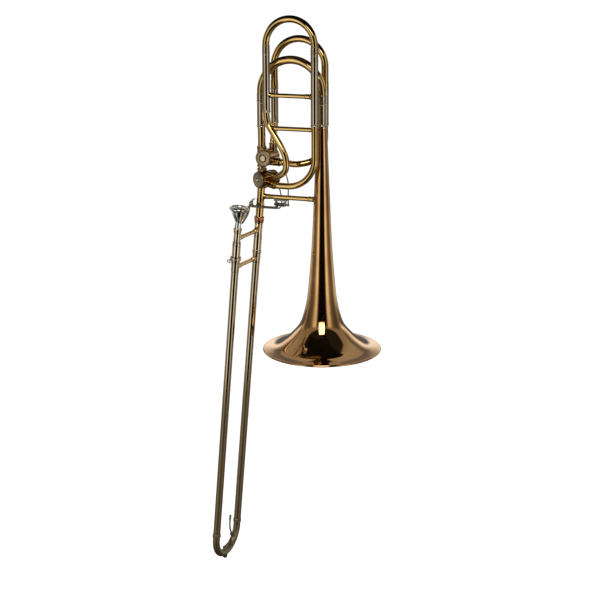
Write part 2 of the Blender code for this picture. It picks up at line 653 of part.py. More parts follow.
def brace(name, start, end, diameter, flange, seats, paint=YELLOW_BRASS, waist=0.0):
    """A brace with a flange at each end, cut to sit round what it joins.

    Each seat is (point, axis, radius) of the tube that an end meets."""
    length = (end - start).length
    thin, wide = diameter / 2, flange / 2
    lip, taper = 3.2 * MM, 8 * MM
    profile = solid_profile([(wide, length), (wide, length - lip), (thin, length - taper),
                             (thin - waist, length / 2), (thin, taper), (wide, lip), (wide, 0)])
    bar = turned(name, profile, paint, start, end - start, TUBE_SIDES, closed=False)
    for number, (point, axis, radius) in enumerate(seats):
        reach = axis.normalized() * 30 * MM
        seat = rod(f"{name}_seat_{number}", point - reach, point + reach,
                   2 * (radius + FACE_GAP), home=cutters)
        boolean(bar, seat)
    return bar


def make_braces():
    first_right = FIRST_LEFT + FIRST_SPREAD
    sleeve_radius = LOOP_LEG_DIAMETER / 2 + GAP + 0.65 * MM
    pipe_radius = LOOP_LEG_DIAMETER / 2
    start = Vector((FIRST_LEFT, -LOOP_OFFSET, UPPER_BRACE_Z))
    end = Vector((first_right, -LOOP_OFFSET, UPPER_BRACE_Z))
    brace("brace_upper", start, end, LOOP_BRACE_DIAMETER, BRACE_FLANGE_DIAMETER,
          [(start, UP, sleeve_radius), (end, UP, sleeve_radius)])
    start = Vector((KNUCKLE_BENDS[0][0] + 4, KNUCKLE_BENDS[0][1], LOWER_BRACE_Z / MM)) * MM
    end = Vector((first_right, -LOOP_OFFSET, LOWER_BRACE_Z))
    bar = brace("brace_lower", start, end, LOOP_BRACE_DIAMETER, LOOP_BRACE_DIAMETER + 2.4 * MM,
                [(end, UP, pipe_radius)])
    boolean(bar, wire("brace_lower_pipe_seat", knuckle_route(), LOOP_LEG_DIAMETER + 2 * FACE_GAP,
                      sides=PIPE_SIDES, home=cutters))
    neck_point = down_slide(-(BELL_BRACE_LEFT_Z - NECK_FOOT.z) / math.cos(SLIDE_LEAN))
    bell_point = Vector((0, 0, BELL_BRACE_LEFT_Z))
    bell_radius = bell_radius_at(BELL_BRACE_LEFT_Z)
    brace("bell_brace", neck_point, bell_point, BRACE_DIAMETER, BRACE_FLANGE_DIAMETER,
          [(neck_point, SLIDE_DOWN, NECK_TUBE_DIAMETER / 2), (bell_point, UP, bell_radius + 0.4 * MM)])
    tail = Vector((0, 0, 486 * MM))
    loop = Vector((SECOND_LEFT + SECOND_SPREAD, LOOP_OFFSET, 486 * MM))
    brace("second_loop_strut", tail, loop, 5 * MM, 8 * MM,
          [(tail, UP, MAIN_LEG_DIAMETER / 2 + GAP + 0.65 * MM), (loop, UP, sleeve_radius)],
          NICKEL_SILVER)


def bell_radius_at(level):
    """The bell's outer radius at a height, between its stations."""
    stations = bell_stations()
    for (low, wide), (high, narrow) in zip(stations, stations[1:]):
        if low <= level <= high:
            return (wide + (narrow - wide) * (level - low) / (high - low)) / 2
    return BELL_TAIL_DIAMETER / 2


def make_saddle():
    """Two posts under the bell brace, and the axle that both thumb levers turn on."""
    plate_top = BELL_BRACE_LEFT_Z - BRACE_DIAMETER / 2 - FACE_GAP
    plate = 2.4 * MM
    half = AXLE_LENGTH / 2
    post = 3.4 * MM
    saddle = block("lever_saddle", (AXLE_LENGTH + 2 * MM, 7 * MM, plate),
                   Vector((AXLE_X, 0, plate_top - plate / 2)), paint=NICKEL_SILVER)
    low = AXLE_Z - AXLE_DIAMETER
    tall = plate_top - plate / 2 - low
    for number, side in enumerate((-1, 1)):
        leg = block(f"lever_saddle_post_{number}", (post, 6.6 * MM, tall),
                    Vector((AXLE_X + side * (half - post), 0, low + tall / 2)), home=cutters)
        boolean(saddle, leg, "UNION")
    hole = rod("lever_saddle_hole", Vector((AXLE_X - AXLE_LENGTH, 0, AXLE_Z)),
               Vector((AXLE_X + AXLE_LENGTH, 0, AXLE_Z)), AXLE_DIAMETER + 2 * GAP, home=cutters,
               steps=12)
    boolean(saddle, hole)
    turned("lever_axle",
           solid_profile([(AXLE_DIAMETER / 2, half), (AXLE_DIAMETER / 2, -half)]),
           NICKEL_SILVER, Vector((AXLE_X, 0, AXLE_Z)), Vector((1, 0, 0)), 12, closed=False)


def lever_point(radius, angle, x):
    """A point round the axle: the angle is measured from straight back, upwards."""
    return Vector((x, radius * math.cos(angle), AXLE_Z + radius * math.sin(angle)))


ROD_REST_ANGLE = -LEVER_SWING / 2
FIRST_HUB_X = AXLE_X - LEVER_HUB_LENGTH / 2 - FACE_GAP
SECOND_HUB_X = AXLE_X + LEVER_HUB_LENGTH / 2 + FACE_GAP


def make_lever(number, hub_x, side, arm_reach, corner_x, blade_places, blade_width):
    """A thumb lever: hub on the axle, rear arm to its link rod, front arm across to its paddle."""
    pivot = Vector((hub_x, 0, AXLE_Z))
    name = f"thumb_lever_{number}"
    half = LEVER_HUB_LENGTH / 2
    hub = turned(name, ring_profile(LEVER_HUB_DIAMETER / 2, AXLE_DIAMETER / 2 + GAP, half, -half),
                 DARK_NICKEL, pivot, Vector((1, 0, 0)), 12)
    rear_end = lever_point(ROD_ARM, ROD_REST_ANGLE, hub_x)
    rear = wire(f"{name}_rear_arm", [lever_point(3.2 * MM, ROD_REST_ANGLE, hub_x), rear_end],
                LEVER_WIRE_DIAMETER, home=cutters)
    boolean(hub, rear, "UNION", "MANIFOLD")
    outward = Vector((side, 0, 0))
    pin = rod(f"{name}_pin", rear_end - outward * 1.2 * MM, rear_end + outward * 5 * MM,
              ROD_PIN_DIAMETER, home=cutters, steps=8)
    boolean(hub, pin, "UNION", "MANIFOLD")
    level = AXLE_Z - LEVER_DROP
    front = Vector((hub_x, -arm_reach, level))
    corner = Vector((corner_x, -arm_reach, level))
    route = [Vector((hub_x, -3.2 * MM, AXLE_Z)), front + Vector((0, 5 * MM, 0)),
             front + Vector((-1.6 * MM, 1.6 * MM, 0)), front - Vector((5 * MM, 0, 0)), corner]
    front_arm = wire(f"{name}_front_arm", route, LEVER_WIRE_DIAMETER, home=cutters)
    boolean(hub, front_arm, "UNION", "MANIFOLD")
    blade_route = [corner, *(Vector(place) * MM for place in blade_places)]
    blade = paddle(f"{name}_paddle", blade_route, blade_width)
    boolean(hub, blade, "UNION", "MANIFOLD")
    return hub


def paddle(name, points, width):
    """A curved blade through points, its width along Y, thickened about its middle."""
    route = smooth_route(points, 2)
    mesh = bpy.data.meshes.new(name)
    work = bmesh.new()
    rows = []
    for i, place in enumerate(route):
        share = i / (len(route) - 1)
        reach = width / 2 * (0.3 + 0.7 * math.sin(math.pi * share * 0.85))
        rows.append([work.verts.new(place + Vector((0, side * reach, 0))) for side in (-1, 0, 1)])
    for first, second in zip(rows, rows[1:]):
        for a, b in ((0, 1), (1, 2)):
            work.faces.new((first[a], first[b], second[b], second[a]))
    work.to_mesh(mesh)
    work.free()
    blade = bpy.data.objects.new(name, mesh)
    skin = blade.modifiers.new("thickness", "SOLIDIFY")
    skin.thickness = PADDLE_THICKNESS
    skin.offset = 0
    return register(blade, cutters)


def make_levers():
    make_lever(1, FIRST_HUB_X, -1, 15 * MM, -141 * MM, FIRST_BLADE, FIRST_BLADE_WIDTH)
    make_lever(2, SECOND_HUB_X, 1, 24 * MM, -140 * MM, SECOND_BLADE, SECOND_BLADE_WIDTH)


def make_link_rod(number, valve, hub_x, side, bend):
    """A link rod: an eye round the lever's pin below, an eye beside the stop arm above."""
    half = CASING_LENGTH / 2 + FACE_GAP
    pin = lever_point(ROD_ARM, ROD_REST_ANGLE, hub_x)
    outward = Vector((side, 0, 0))
    foot = pin + outward * (LEVER_WIRE_DIAMETER / 2 + FACE_GAP)
    link = turned(f"link_rod_{number}",
                  ring_profile(3.1 * MM, ROD_PIN_DIAMETER / 2 + GAP, 2.4 * MM, 0), DARK_NICKEL, foot,
                  outward, 12)
    eye = arm_eye(valve, half)
    back = -valve.cap
    near = eye + back * (STOP_ARM_THICKNESS / 2 + 1 * MM)
    top = rod(f"link_rod_{number}_top", near, near + back * 3 * MM, 6 * MM, home=cutters, steps=10)
    tip = near + back * 1.5 * MM
    middle = foot + outward * 1.2 * MM + UP * 2.6 * MM
    route = smooth_route([middle, *bend(middle, tip), tip], 2)
    stem = wire(f"link_rod_{number}_stem", route, ROD_DIAMETER, home=cutters)
    boolean(link, stem, "UNION")
    boolean(link, top, "UNION")


def make_links():
    make_link_rod(1, VALVE_1, FIRST_HUB_X, -1,
                  lambda low, high: [low + UP * 12 * MM, high - UP * 9 * MM])
    make_link_rod(2, VALVE_2, SECOND_HUB_X, 1,
                  lambda low, high: [low + UP * 20 * MM, low + UP * 44 * MM,
                                     low + UP * 62 * MM + Vector((-6, 2, 0)) * MM,
                                     high + Vector((8, 2, -6)) * MM])


def make_slide_joint():
    """What holds the slide to the neck: the tenon inside it, its flange and the nut over both."""
    nut = NUT_DIAMETER / 2
    bore = NECK_TUBE_DIAMETER / 2 + 0.5 * MM
    turned("lock_nut",
           [(nut - 0.9 * MM, -NUT_TOP), (nut, -NUT_TOP - 1 * MM), (nut, -NUT_TOP - 7 * MM),
            (nut - 1.4 * MM, -NUT_BOTTOM), (bore, -NUT_BOTTOM), (bore, -NUT_TOP)],
           ROSE_BRASS, NECK_FOOT, -SLIDE_DOWN, 18)
    tenon = NECK_TUBE_DIAMETER / 2 - NECK_WALL - GAP
    bore = tenon - 0.75 * MM
    body = BARREL_DIAMETER / 2 - 0.4 * MM
    flange = NUT_BOTTOM + FACE_GAP
    bottom = BARREL_TOP - FACE_GAP
    turned("slide_tenon",
           [(tenon, -TENON_TOP), (tenon, -flange), (nut - 1.2 * MM, -flange),
            (nut - 1.2 * MM, -flange - 2.4 * MM), (body, -flange - 3.4 * MM), (body, -bottom),
            (bore, -bottom), (bore, -TENON_TOP)],
           NICKEL_SILVER, NECK_FOOT, -SLIDE_DOWN)
    lip = SHANK_DIAMETER / 2 + GAP + 0.4 * MM
    deep = SHANK_TIP_DIAMETER / 2 + GAP + 0.2 * MM
    turned("mouthpiece_receiver",
           [(body + 0.9 * MM, 2 * MM), (body + 0.9 * MM, -2.4 * MM), (body, -3.2 * MM),
            (body, -bottom), (deep, -bottom), (lip, 2 * MM)],
           NICKEL_SILVER, down_slide(0, SLIDE_SPREAD), -SLIDE_DOWN)


def make_inner_slide():
    inner = INNER_TUBE_DIAMETER / 2
    body = BARREL_DIAMETER / 2
    for side, across in (("bell", 0.0), ("mouth", SLIDE_SPREAD)):
        base = down_slide(0, across)
        turned(f"inner_tube_{side}_side",
               [(inner - 0.2 * MM, -BARREL_TOP), (inner, -BARREL_TOP - 2 * MM),
                (inner, -INNER_TUBE_END), (inner - INNER_TUBE_WALL, -INNER_TUBE_END),
                (inner - INNER_TUBE_WALL, -BARREL_TOP)],
               CHROME_NICKEL, base, -SLIDE_DOWN)
        turned(f"cork_barrel_{side}_side",
               [(body, -BARREL_TOP), (body, -BARREL_BOTTOM + 3 * MM),
                (body + 0.8 * MM, -BARREL_BOTTOM + 2.4 * MM), (body + 0.8 * MM, -BARREL_BOTTOM),
                (inner + GAP, -BARREL_BOTTOM), (inner + GAP, -BARREL_TOP)],
               NICKEL_SILVER, base, -SLIDE_DOWN)
    body -= 0.4 * MM
    start = down_slide(INNER_BRACE_AT)
    end = down_slide(INNER_BRACE_AT, SLIDE_SPREAD)
    brace("inner_brace", start, end, SLIDE_BRACE_DIAMETER, 11 * MM,
          [(start, SLIDE_DOWN, body), (end, SLIDE_DOWN, body)], NICKEL_SILVER)


def make_lock_ring():
    """The ring that turns on the mouthpiece side's barrel, and its hook beside the outer slide."""
    inner = BARREL_DIAMETER / 2 + 0.8 * MM + GAP
    outer = inner + 1.5 * MM
    base = down_slide(0, SLIDE_SPREAD)
    ring = turned("slide_lock_ring", ring_profile(outer, inner, -BARREL_BOTTOM + 7 * MM,
                                                  -BARREL_BOTTOM + 0.6 * MM),
                  NICKEL_SILVER, base, -SLIDE_DOWN, 20)
    hook_place = down_slide(BARREL_BOTTOM + 1.4 * MM, SLIDE_SPREAD)
    away = Matrix.Rotation(LOCK_HOOK_TURN, 3, SLIDE_DOWN) @ ACROSS
    hook_place += away * (outer - 0.4 * MM)
    hook = block("slide_lock_hook", (1.6 * MM, 5 * MM, 14 * MM), hook_place,
                 facing(-SLIDE_DOWN, away), home=cutters)
    boolean(ring, hook, "UNION")


def make_outer_slide():
    outer = OUTER_TUBE_DIAMETER / 2
    inner = outer - OUTER_TUBE_WALL
    top = BARREL_BOTTOM + FACE_GAP
    flange = outer + 1.6 * MM
    ferrule = FERRULE_DIAMETER / 2
    socket = outer + GAP
    for side, across in (("bell", 0.0), ("mouth", SLIDE_SPREAD)):
        base = down_slide(0, across)
        turned(f"outer_tube_{side}_side",
               [(flange, -top), (flange, -top - 2.6 * MM), (outer + 0.7 * MM, -top - 3.4 * MM),
                (outer + 0.7 * MM, -top - 22 * MM), (outer, -top - 23 * MM),
                (outer, -FERRULE_TOP), (ferrule, -FERRULE_TOP - 1.5 * MM),
                (ferrule, -FERRULE_END), (socket, -FERRULE_END), (socket, -FERRULE_END + 9 * MM),
                (inner, -FERRULE_END + 10 * MM), (inner, -top)],
               NICKEL_SILVER, base, -SLIDE_DOWN)
    centre = bow_centre()
    start = FERRULE_END - 8.6 * MM
    route = arc(centre, ACROSS, SLIDE_DOWN, SLIDE_SPREAD / 2, 0, math.pi, 12)
    route = [down_slide(start), *route, down_slide(start, SLIDE_SPREAD)]
    pipe("slide_bow", route, OUTER_TUBE_DIAMETER, LOOP_WALL, YELLOW_BRASS)
    seat = outer + 0.7 * MM
    start = down_slide(OUTER_BRACE_AT)
    end = down_slide(OUTER_BRACE_AT, SLIDE_SPREAD)
    brace("outer_brace", start, end, SLIDE_BRACE_DIAMETER, 12 * MM,
          [(start, SLIDE_DOWN, seat), (end, SLIDE_DOWN, seat)], NICKEL_SILVER)


def bow_centre():
    return down_slide(FERRULE_END + SLIDE_BOW_STRAIGHT, SLIDE_SPREAD / 2)


def make_bumper():
    """The rubber foot under the slide's bow, cut to sit round it."""
    reach = SLIDE_SPREAD / 2 + OUTER_TUBE_DIAMETER / 2
    low = bow_centre() + SLIDE_DOWN * (reach + BUMPER_HEIGHT)
    tall = BUMPER_HEIGHT + 4 * MM
    foot = turned("slide_bumper",
                  solid_profile([(4.6 * MM, tall), (5 * MM, tall / 2), (4.4 * MM, 1.2 * MM),
                                 (3.4 * MM, 0)]),
                  BLACK_RUBBER, low, -SLIDE_DOWN, 16, closed=False, towards=ACROSS)
    middle = math.pi / 2
    route = arc(bow_centre(), ACROSS, SLIDE_DOWN, SLIDE_SPREAD / 2, middle - 0.5, middle + 0.5, 6)
    boolean(foot, wire("slide_bumper_seat", route, OUTER_TUBE_DIAMETER + 2 * FACE_GAP, sides=24,
                       home=cutters))


def bow_inner(angle, rise):
    """A point inside the slide's bow, above its inner wall at an angle from the bell side."""
    radius = SLIDE_SPREAD / 2 - OUTER_TUBE_DIAMETER / 2 - rise
    return bow_centre() + radius * (ACROSS * math.cos(angle) + SLIDE_DOWN * math.sin(angle))


def make_water_key():
    """The water key inside the bow: saddle, and a lever whose cork shuts the hole in the bow."""
    pivot = bow_inner(KEY_PIVOT_ANGLE, KEY_PIVOT_RISE)
    outward = (pivot - bow_centre()).normalized()
    spin = facing(SLIDE_NORMAL, outward)
    saddle = block("water_key_saddle", (1.8 * MM, 7 * MM, 9 * MM),
                   pivot + outward * (KEY_PIVOT_RISE - 0.9 * MM), spin, paint=NICKEL_SILVER)
    for number, side in enumerate((-1, 1)):
        ear = block(f"water_key_ear_{number}", (KEY_PIVOT_RISE + 1.6 * MM, 5 * MM, 1.4 * MM),
                    pivot + outward * (KEY_PIVOT_RISE / 2 - 1.6 * MM)
                    + SLIDE_NORMAL * side * 3.8 * MM, spin, home=cutters)
        boolean(saddle, ear, "UNION")
    centre = bow_centre()
    reach = SLIDE_SPREAD / 2
    route = arc(centre, ACROSS, SLIDE_DOWN, reach, KEY_PIVOT_ANGLE - 0.3, KEY_PIVOT_ANGLE + 0.3, 4)
    boolean(saddle, wire("water_key_saddle_seat", route, OUTER_TUBE_DIAMETER + 2 * FACE_GAP,
                         sides=16, home=cutters))
    key = turned("water_key", solid_profile([(2 * MM, 2.6 * MM), (2 * MM, -2.6 * MM)]), DARK_NICKEL,
                 pivot, SLIDE_NORMAL, 12, closed=False)
    touch = pivot - outward * 12 * MM - SLIDE_DOWN * 14 * MM
    tip = touch - SLIDE_DOWN * 38 * MM - ACROSS * 5 * MM
    cup = bow_inner(KEY_CUP_ANGLE, 1.2 * MM)
    cup_way = (bow_centre() - cup).normalized()
    shoulder = bow_inner((KEY_PIVOT_ANGLE + KEY_CUP_ANGLE) / 2, 5.6 * MM)
    near_cup = cup + cup_way * 4.4 * MM
    route = smooth_route([tip, tip + SLIDE_DOWN * 14 * MM, touch, pivot], 2)
    route += smooth_route([pivot, shoulder, near_cup], 2)[1:]
    boolean(key, wire("water_key_arm", route, 2.4 * MM, home=cutters), "UNION")
    spoon = block("water_key_touch", (2 * MM, 14 * MM, 6 * MM), tip + SLIDE_DOWN * 3 * MM,
                  facing(SLIDE_NORMAL, outward), home=cutters)
    boolean(key, spoon, "UNION")
    disc = rod("water_key_cup", cup, cup + cup_way * 5 * MM, 8 * MM, home=cutters, steps=12)
    boolean(key, disc, "UNION")
    seat_route = arc(centre, ACROSS, SLIDE_DOWN, reach, KEY_CUP_ANGLE - 0.3, KEY_CUP_ANGLE + 0.3, 4)
    boolean(key, wire("water_key_cup_seat", seat_route, OUTER_TUBE_DIAMETER + 2 * FACE_GAP, sides=16,
                      home=cutters))


def make_mouthpiece():
    """The mouthpiece: rim, cup, throat and shank, turned as one."""
    rim, mouth = RIM_OUTER_DIAMETER / 2, RIM_INNER_DIAMETER / 2
    top = MOUTHPIECE_SHOWN
    throat = THROAT_DIAMETER / 2
    shank, tip = SHANK_DIAMETER / 2, SHANK_TIP_DIAMETER / 2
    bottom = top - MOUTHPIECE_LENGTH
    crown = (rim + mouth) / 2
    outside = [(crown, top), (rim - 1.4 * MM, top - 0.8 * MM), (rim, top - 2.6 * MM),
               (rim - 0.4 * MM, top - 5 * MM), (rim - 4.4 * MM, top - 8 * MM),
               (rim - 5.6 * MM, top - 17 * MM), (rim - 8 * MM, top - 26 * MM),
               (shank + 1.6 * MM, top - 34 * MM), (shank + 0.9 * MM, top - 37 * MM), (shank, 0),
               (tip, bottom)]
    inside = [(tip - 1 * MM, bottom), (throat, top - CUP_DEPTH - 12 * MM),
              (throat, top - CUP_DEPTH), (mouth * 0.55, top - CUP_DEPTH * 0.72),
              (mouth * 0.9, top - CUP_DEPTH * 0.38), (mouth, top - 3.6 * MM),
              (mouth + 1.4 * MM, top - 0.8 * MM)]
    turned("mouthpiece", outside + inside, SILVER_PLATE, down_slide(0, SLIDE_SPREAD), -SLIDE_DOWN, 16)


make_bell()
make_tuning_slides()
make_valves()
make_neck()
make_loop_pipes()
make_braces()
make_saddle()
make_levers()
make_links()
make_slide_joint()
make_inner_slide()
make_lock_ring()
make_outer_slide()
make_bumper()
make_water_key()
make_mouthpiece()
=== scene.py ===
# %% [markdown]
# # A bass trombone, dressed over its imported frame
#
# The frame holds the instrument's solids at their real size: bell, valves, tuning slides and hand
# slide, each riding on its own body. They have few sides. This file gives all of them but the two
# hidden rotors a smooth, finished piece in the same place, and adds the metals, the light and the
# camera of a catalogue picture. Places are in metres, and sizes that a maker would read off a rule
# are in millimetres.

# %% Load the frame
import math

import bpy
from mathutils import Matrix, Vector


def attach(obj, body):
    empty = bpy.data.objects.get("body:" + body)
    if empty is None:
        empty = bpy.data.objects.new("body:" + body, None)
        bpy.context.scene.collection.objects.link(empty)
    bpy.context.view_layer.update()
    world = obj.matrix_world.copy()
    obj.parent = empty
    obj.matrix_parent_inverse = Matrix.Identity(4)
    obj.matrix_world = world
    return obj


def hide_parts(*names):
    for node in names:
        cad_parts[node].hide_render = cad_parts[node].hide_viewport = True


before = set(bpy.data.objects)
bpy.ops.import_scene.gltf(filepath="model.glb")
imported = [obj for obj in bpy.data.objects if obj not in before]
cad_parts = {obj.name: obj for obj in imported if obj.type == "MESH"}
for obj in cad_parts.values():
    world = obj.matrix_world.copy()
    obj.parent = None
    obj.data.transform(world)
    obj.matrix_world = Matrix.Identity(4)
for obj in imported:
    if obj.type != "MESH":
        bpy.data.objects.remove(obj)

for start_up in ("Cube", "Camera", "Light"):
    if start_up in bpy.data.objects:
        bpy.data.objects.remove(bpy.data.objects[start_up])
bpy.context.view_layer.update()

# %% [markdown]
# ## Camera
#
# The photograph looks slightly down on the instrument from its right. The place of the camera was
# worked out from places on the bell and on the tubes, which all have to fall where the picture has
# them. A long lens far away keeps the two legs of the hand slide nearly parallel.

# %% Place the camera
MM = 0.001
UP = Vector((0, 0, 1))
CAMERA_AZIMUTH = math.radians(19.118)
CAMERA_ELEVATION = math.radians(15.67)
CAMERA_ROLL = math.radians(-0.263)
CAMERA_DISTANCE = 2.82298
CAMERA_TARGET = Vector((-46.96, 0, 100.12)) * MM
CAMERA_LENS = 83.25           # for a picture as wide as the usual 36 mm sensor

away = Vector((math.sin(CAMERA_AZIMUTH) * math.cos(CAMERA_ELEVATION),
               -math.cos(CAMERA_AZIMUTH) * math.cos(CAMERA_ELEVATION),
               math.sin(CAMERA_ELEVATION)))
level_right = (-away).cross(UP).normalized()
level_up = level_right.cross(-away)
right = level_right * math.cos(CAMERA_ROLL) + level_up * math.sin(CAMERA_ROLL)
upward = level_up * math.cos(CAMERA_ROLL) - level_right * math.sin(CAMERA_ROLL)
bpy.ops.object.camera_add()
camera = bpy.context.object
camera.name = "catalogue_camera"
camera.data.lens = CAMERA_LENS
camera.data.clip_end = 30
camera.matrix_world = (Matrix.Translation(CAMERA_TARGET + away * CAMERA_DISTANCE)
                       @ Matrix((right, upward, away)).transposed().to_4x4())
bpy.context.scene.camera = camera
bpy.context.scene.view_settings.view_transform = "Standard"
print("camera at", [round(c, 3) for c in camera.matrix_world.translation])

# %% [markdown]
# ## Materials
#
# Nearly everything here is polished metal, and a polished metal shows its surroundings more than
# itself. What tells one from the other is the tint, how clear the reflection is and what the
# polisher and the years left on it. One function adds a node, with its settings and links.

# %% A colour, a node, and a material to fill
def linear(code):
    """A colour written as sRGB hex, such as C8A064, in Blender's linear values."""
    parts = [int(code[i:i + 2], 16) / 255 for i in (0, 2, 4)]
    return tuple(p / 12.92 if p <= 0.04045 else ((p + 0.055) / 1.055) ** 2.4
                 for p in parts) + (1,)


def add(tree, kind, settings, links=()):
    """Add a node; a setting is a property or a socket, and a link is (socket, node, output)."""
    node = tree.nodes.new(kind)
    for key, value in settings.items():
        if isinstance(key, int) or key in node.inputs:
            node.inputs[key].default_value = value
        else:
            setattr(node, key, value)
    for socket, source, output in links:
        tree.links.new(source.outputs[output], node.inputs[socket])
    return node


def fill_ramp(node, stops):
    """Give a colour ramp its stops, each a position and a linear colour."""
    held = node.color_ramp.elements
    while len(held) < len(stops):
        held.new(0.5)
    for stop, (position, colour) in zip(held, stops):
        stop.position = position
        stop.color = colour


def blank(name):
    """A new material with an empty tree."""
    made = bpy.data.materials.new(name)
    made.use_nodes = True
    made.node_tree.nodes.clear()
    return made


# %% [markdown]
# Lacquered brass is buffed sheet metal under a clear baked lacquer. The tint drifts by a shade
# over a hand's breadth, because heat from soldering and handling colour it. The buffing wheel
# leaves hairlines, which show as small changes of gloss. They are about 0.1 mm wide on the real
# surface and are drawn about 0.6 mm wide, so that they show in a picture of the whole instrument.

# %% Polished and lacquered metals
DRIFT_SIZE = 45               # millimetres from one shade to the next
HAIRLINE_SIZE = 0.6


def polished(name, tint, shade, roughness, spread, coat, relief=0.02):
    """Buffed metal: a tint that drifts to a darker shade, hairlines, and perhaps a lacquer."""
    made = blank(name)
    tree = made.node_tree
    place = add(tree, "ShaderNodeTexCoord", {})
    drift = add(tree, "ShaderNodeTexNoise", {"Scale": 1 / (DRIFT_SIZE * MM), "Detail": 3},
                [("Vector", place, "Object")])
    mixed = add(tree, "ShaderNodeValToRGB", {}, [("Fac", drift, "Fac")])
    fill_ramp(mixed, [(0.32, linear(shade)), (0.62, linear(tint))])
    stretch = add(tree, "ShaderNodeMapping", {"Scale": (0.25, 0.25, 1)},
                  [("Vector", place, "Object")])
    lines = add(tree, "ShaderNodeTexNoise", {"Scale": 1 / (HAIRLINE_SIZE * MM), "Detail": 2},
                [("Vector", stretch, "Vector")])
    gloss = add(tree, "ShaderNodeMapRange", {"To Min": roughness - spread / 2,
                                            "To Max": roughness + spread / 2},
                [("Value", lines, "Fac")])
    bump = add(tree, "ShaderNodeBump", {"Strength": relief, "Distance": 0.1 * MM},
               [("Height", lines, "Fac")])
    shader = add(tree, "ShaderNodeBsdfPrincipled", {"Metallic": 1, "Coat Weight": coat,
                                                   "Coat Roughness": 0.06},
                 [("Base Color", mixed, "Color"), ("Roughness", gloss, "Result"),
                  ("Normal", bump, "Normal")])
    add(tree, "ShaderNodeOutputMaterial", {}, [("Surface", shader, "BSDF")])
    return made


LOOKS = {
    "rose_brass": polished("lacquered_rose_brass", "D8A86A", "C48F54", 0.07, 0.03, 0.6, 0.006),
    "red_brass": polished("lacquered_red_brass", "C48A5E", "A8683E", 0.1, 0.04, 0.4, 0.01),
    "yellow_brass": polished("lacquered_yellow_brass", "D6B26E", "C19E56", 0.06, 0.03, 0.5,
                             0.006),
    "nickel_silver": polished("lacquered_nickel_silver", "CFBEA2", "BDAB8C", 0.06, 0.03, 0.2,
                              0.006),
    "dark_nickel": polished("handled_nickel_silver", "8E8778", "6A6354", 0.26, 0.12, 0, 0.05),
    "casing_brass": polished("brushed_casing_brass", "A98A56", "86653A", 0.18, 0.06, 0.1, 0.02),
    "chromed_nickel": polished("chromed_nickel_silver", "D2D0CA", "C6C3BC", 0.05, 0.02, 0, 0.004),
    "silver_plate": polished("silver_plate", "ECEAE6", "DEDCD6", 0.05, 0.02, 0, 0.004),
}
print("polished metals:", ", ".join(LOOKS))

# %% [markdown]
# The outer tubes and the bow of the hand slide are nickel silver too, but hands and water have
# dulled them further down. The haze is a share that rises from none at about the height of the
# bell's mouth to full some 13 cm below it. Slow noise makes its edge uneven. It darkens the tint
# and blurs the reflection.

# %% Lacquer that hands have dulled
HAZE_FROM, HAZE_TO = 0.01, -0.13     # metres of height, between which the lacquer turns dull
HAZE_WANDER = 0.04                   # metres that its edge strays up and down
SMEAR_SIZE = 60
CLEAN_GLOSS, DULL_GLOSS = 0.06, 0.42


def hazed(name, clean, dull, relief):
    """Lacquered metal that hands have dulled further down: darker and less sharp."""
    made = polished(name, clean, clean, CLEAN_GLOSS, 0.03, 0.2, relief)
    tree = made.node_tree
    shader = next(node for node in tree.nodes if node.type == "BSDF_PRINCIPLED")
    place = add(tree, "ShaderNodeTexCoord", {})
    axes = add(tree, "ShaderNodeSeparateXYZ", {}, [("Vector", place, "Object")])
    smear = add(tree, "ShaderNodeTexNoise", {"Scale": 1 / (SMEAR_SIZE * MM), "Detail": 3},
                [("Vector", place, "Object")])
    wander = add(tree, "ShaderNodeMapRange", {"To Min": -HAZE_WANDER, "To Max": HAZE_WANDER},
                 [("Value", smear, "Fac")])
    height = add(tree, "ShaderNodeMath", {"operation": "ADD"},
                 [(0, axes, "Z"), (1, wander, "Result")])
    share = add(tree, "ShaderNodeMapRange", {"interpolation_type": "SMOOTHSTEP",
                                            "From Min": HAZE_FROM, "From Max": HAZE_TO},
                [("Value", height, "Value")])
    colour = add(tree, "ShaderNodeMix", {"data_type": "RGBA", 6: linear(clean), 7: linear(dull)},
                 [(0, share, "Result")])
    gloss = add(tree, "ShaderNodeMapRange", {"To Min": CLEAN_GLOSS, "To Max": DULL_GLOSS},
                [("Value", share, "Result")])
    tree.links.new(colour.outputs["Result"], shader.inputs["Base Color"])
    tree.links.new(gloss.outputs["Result"], shader.inputs["Roughness"])
    return made


LOOKS["hazed_nickel"] = hazed("hazed_nickel_silver", "AE9E82", "8C7A5A", 0.006)
print("haze from", HAZE_FROM, "down to", HAZE_TO)

# %% [markdown]
# The valves' caps and bearing plates are turned on a lathe and left brushed. Their tone is painted
# lighter on the boss as a painted highlight, and darker in the groove round it and towards the rim
# as painted shade. The cutter's rings run round each valve's own axis, so the pattern is centred and
# turned by a Mapping node, one material for each valve. Rings of 0.9 mm stand for the finer ones of
# the real cap. Rubber and cork are dull and have a grain.

# %% Brushed caps, rubber, cork and spring steel
RING_SPACING = 0.9
WAVE_PERIOD = 0.314           # of Blender's wave texture at a scale of 1
CAP_FACE = 17                 # millimetres from a cap's middle to its edge


def facing(direction, towards=None):
    """A rotation whose Z is direction and, where given, whose X leans towards a second one."""
    z = direction.normalized()
    x = towards if towards else (Vector((1, 0, 0)) if abs(z.x) < 0.9 else Vector((0, 1, 0)))
    x = (x - z * x.dot(z)).normalized()
    return Matrix((x, z.cross(x), z)).transposed().to_4x4()


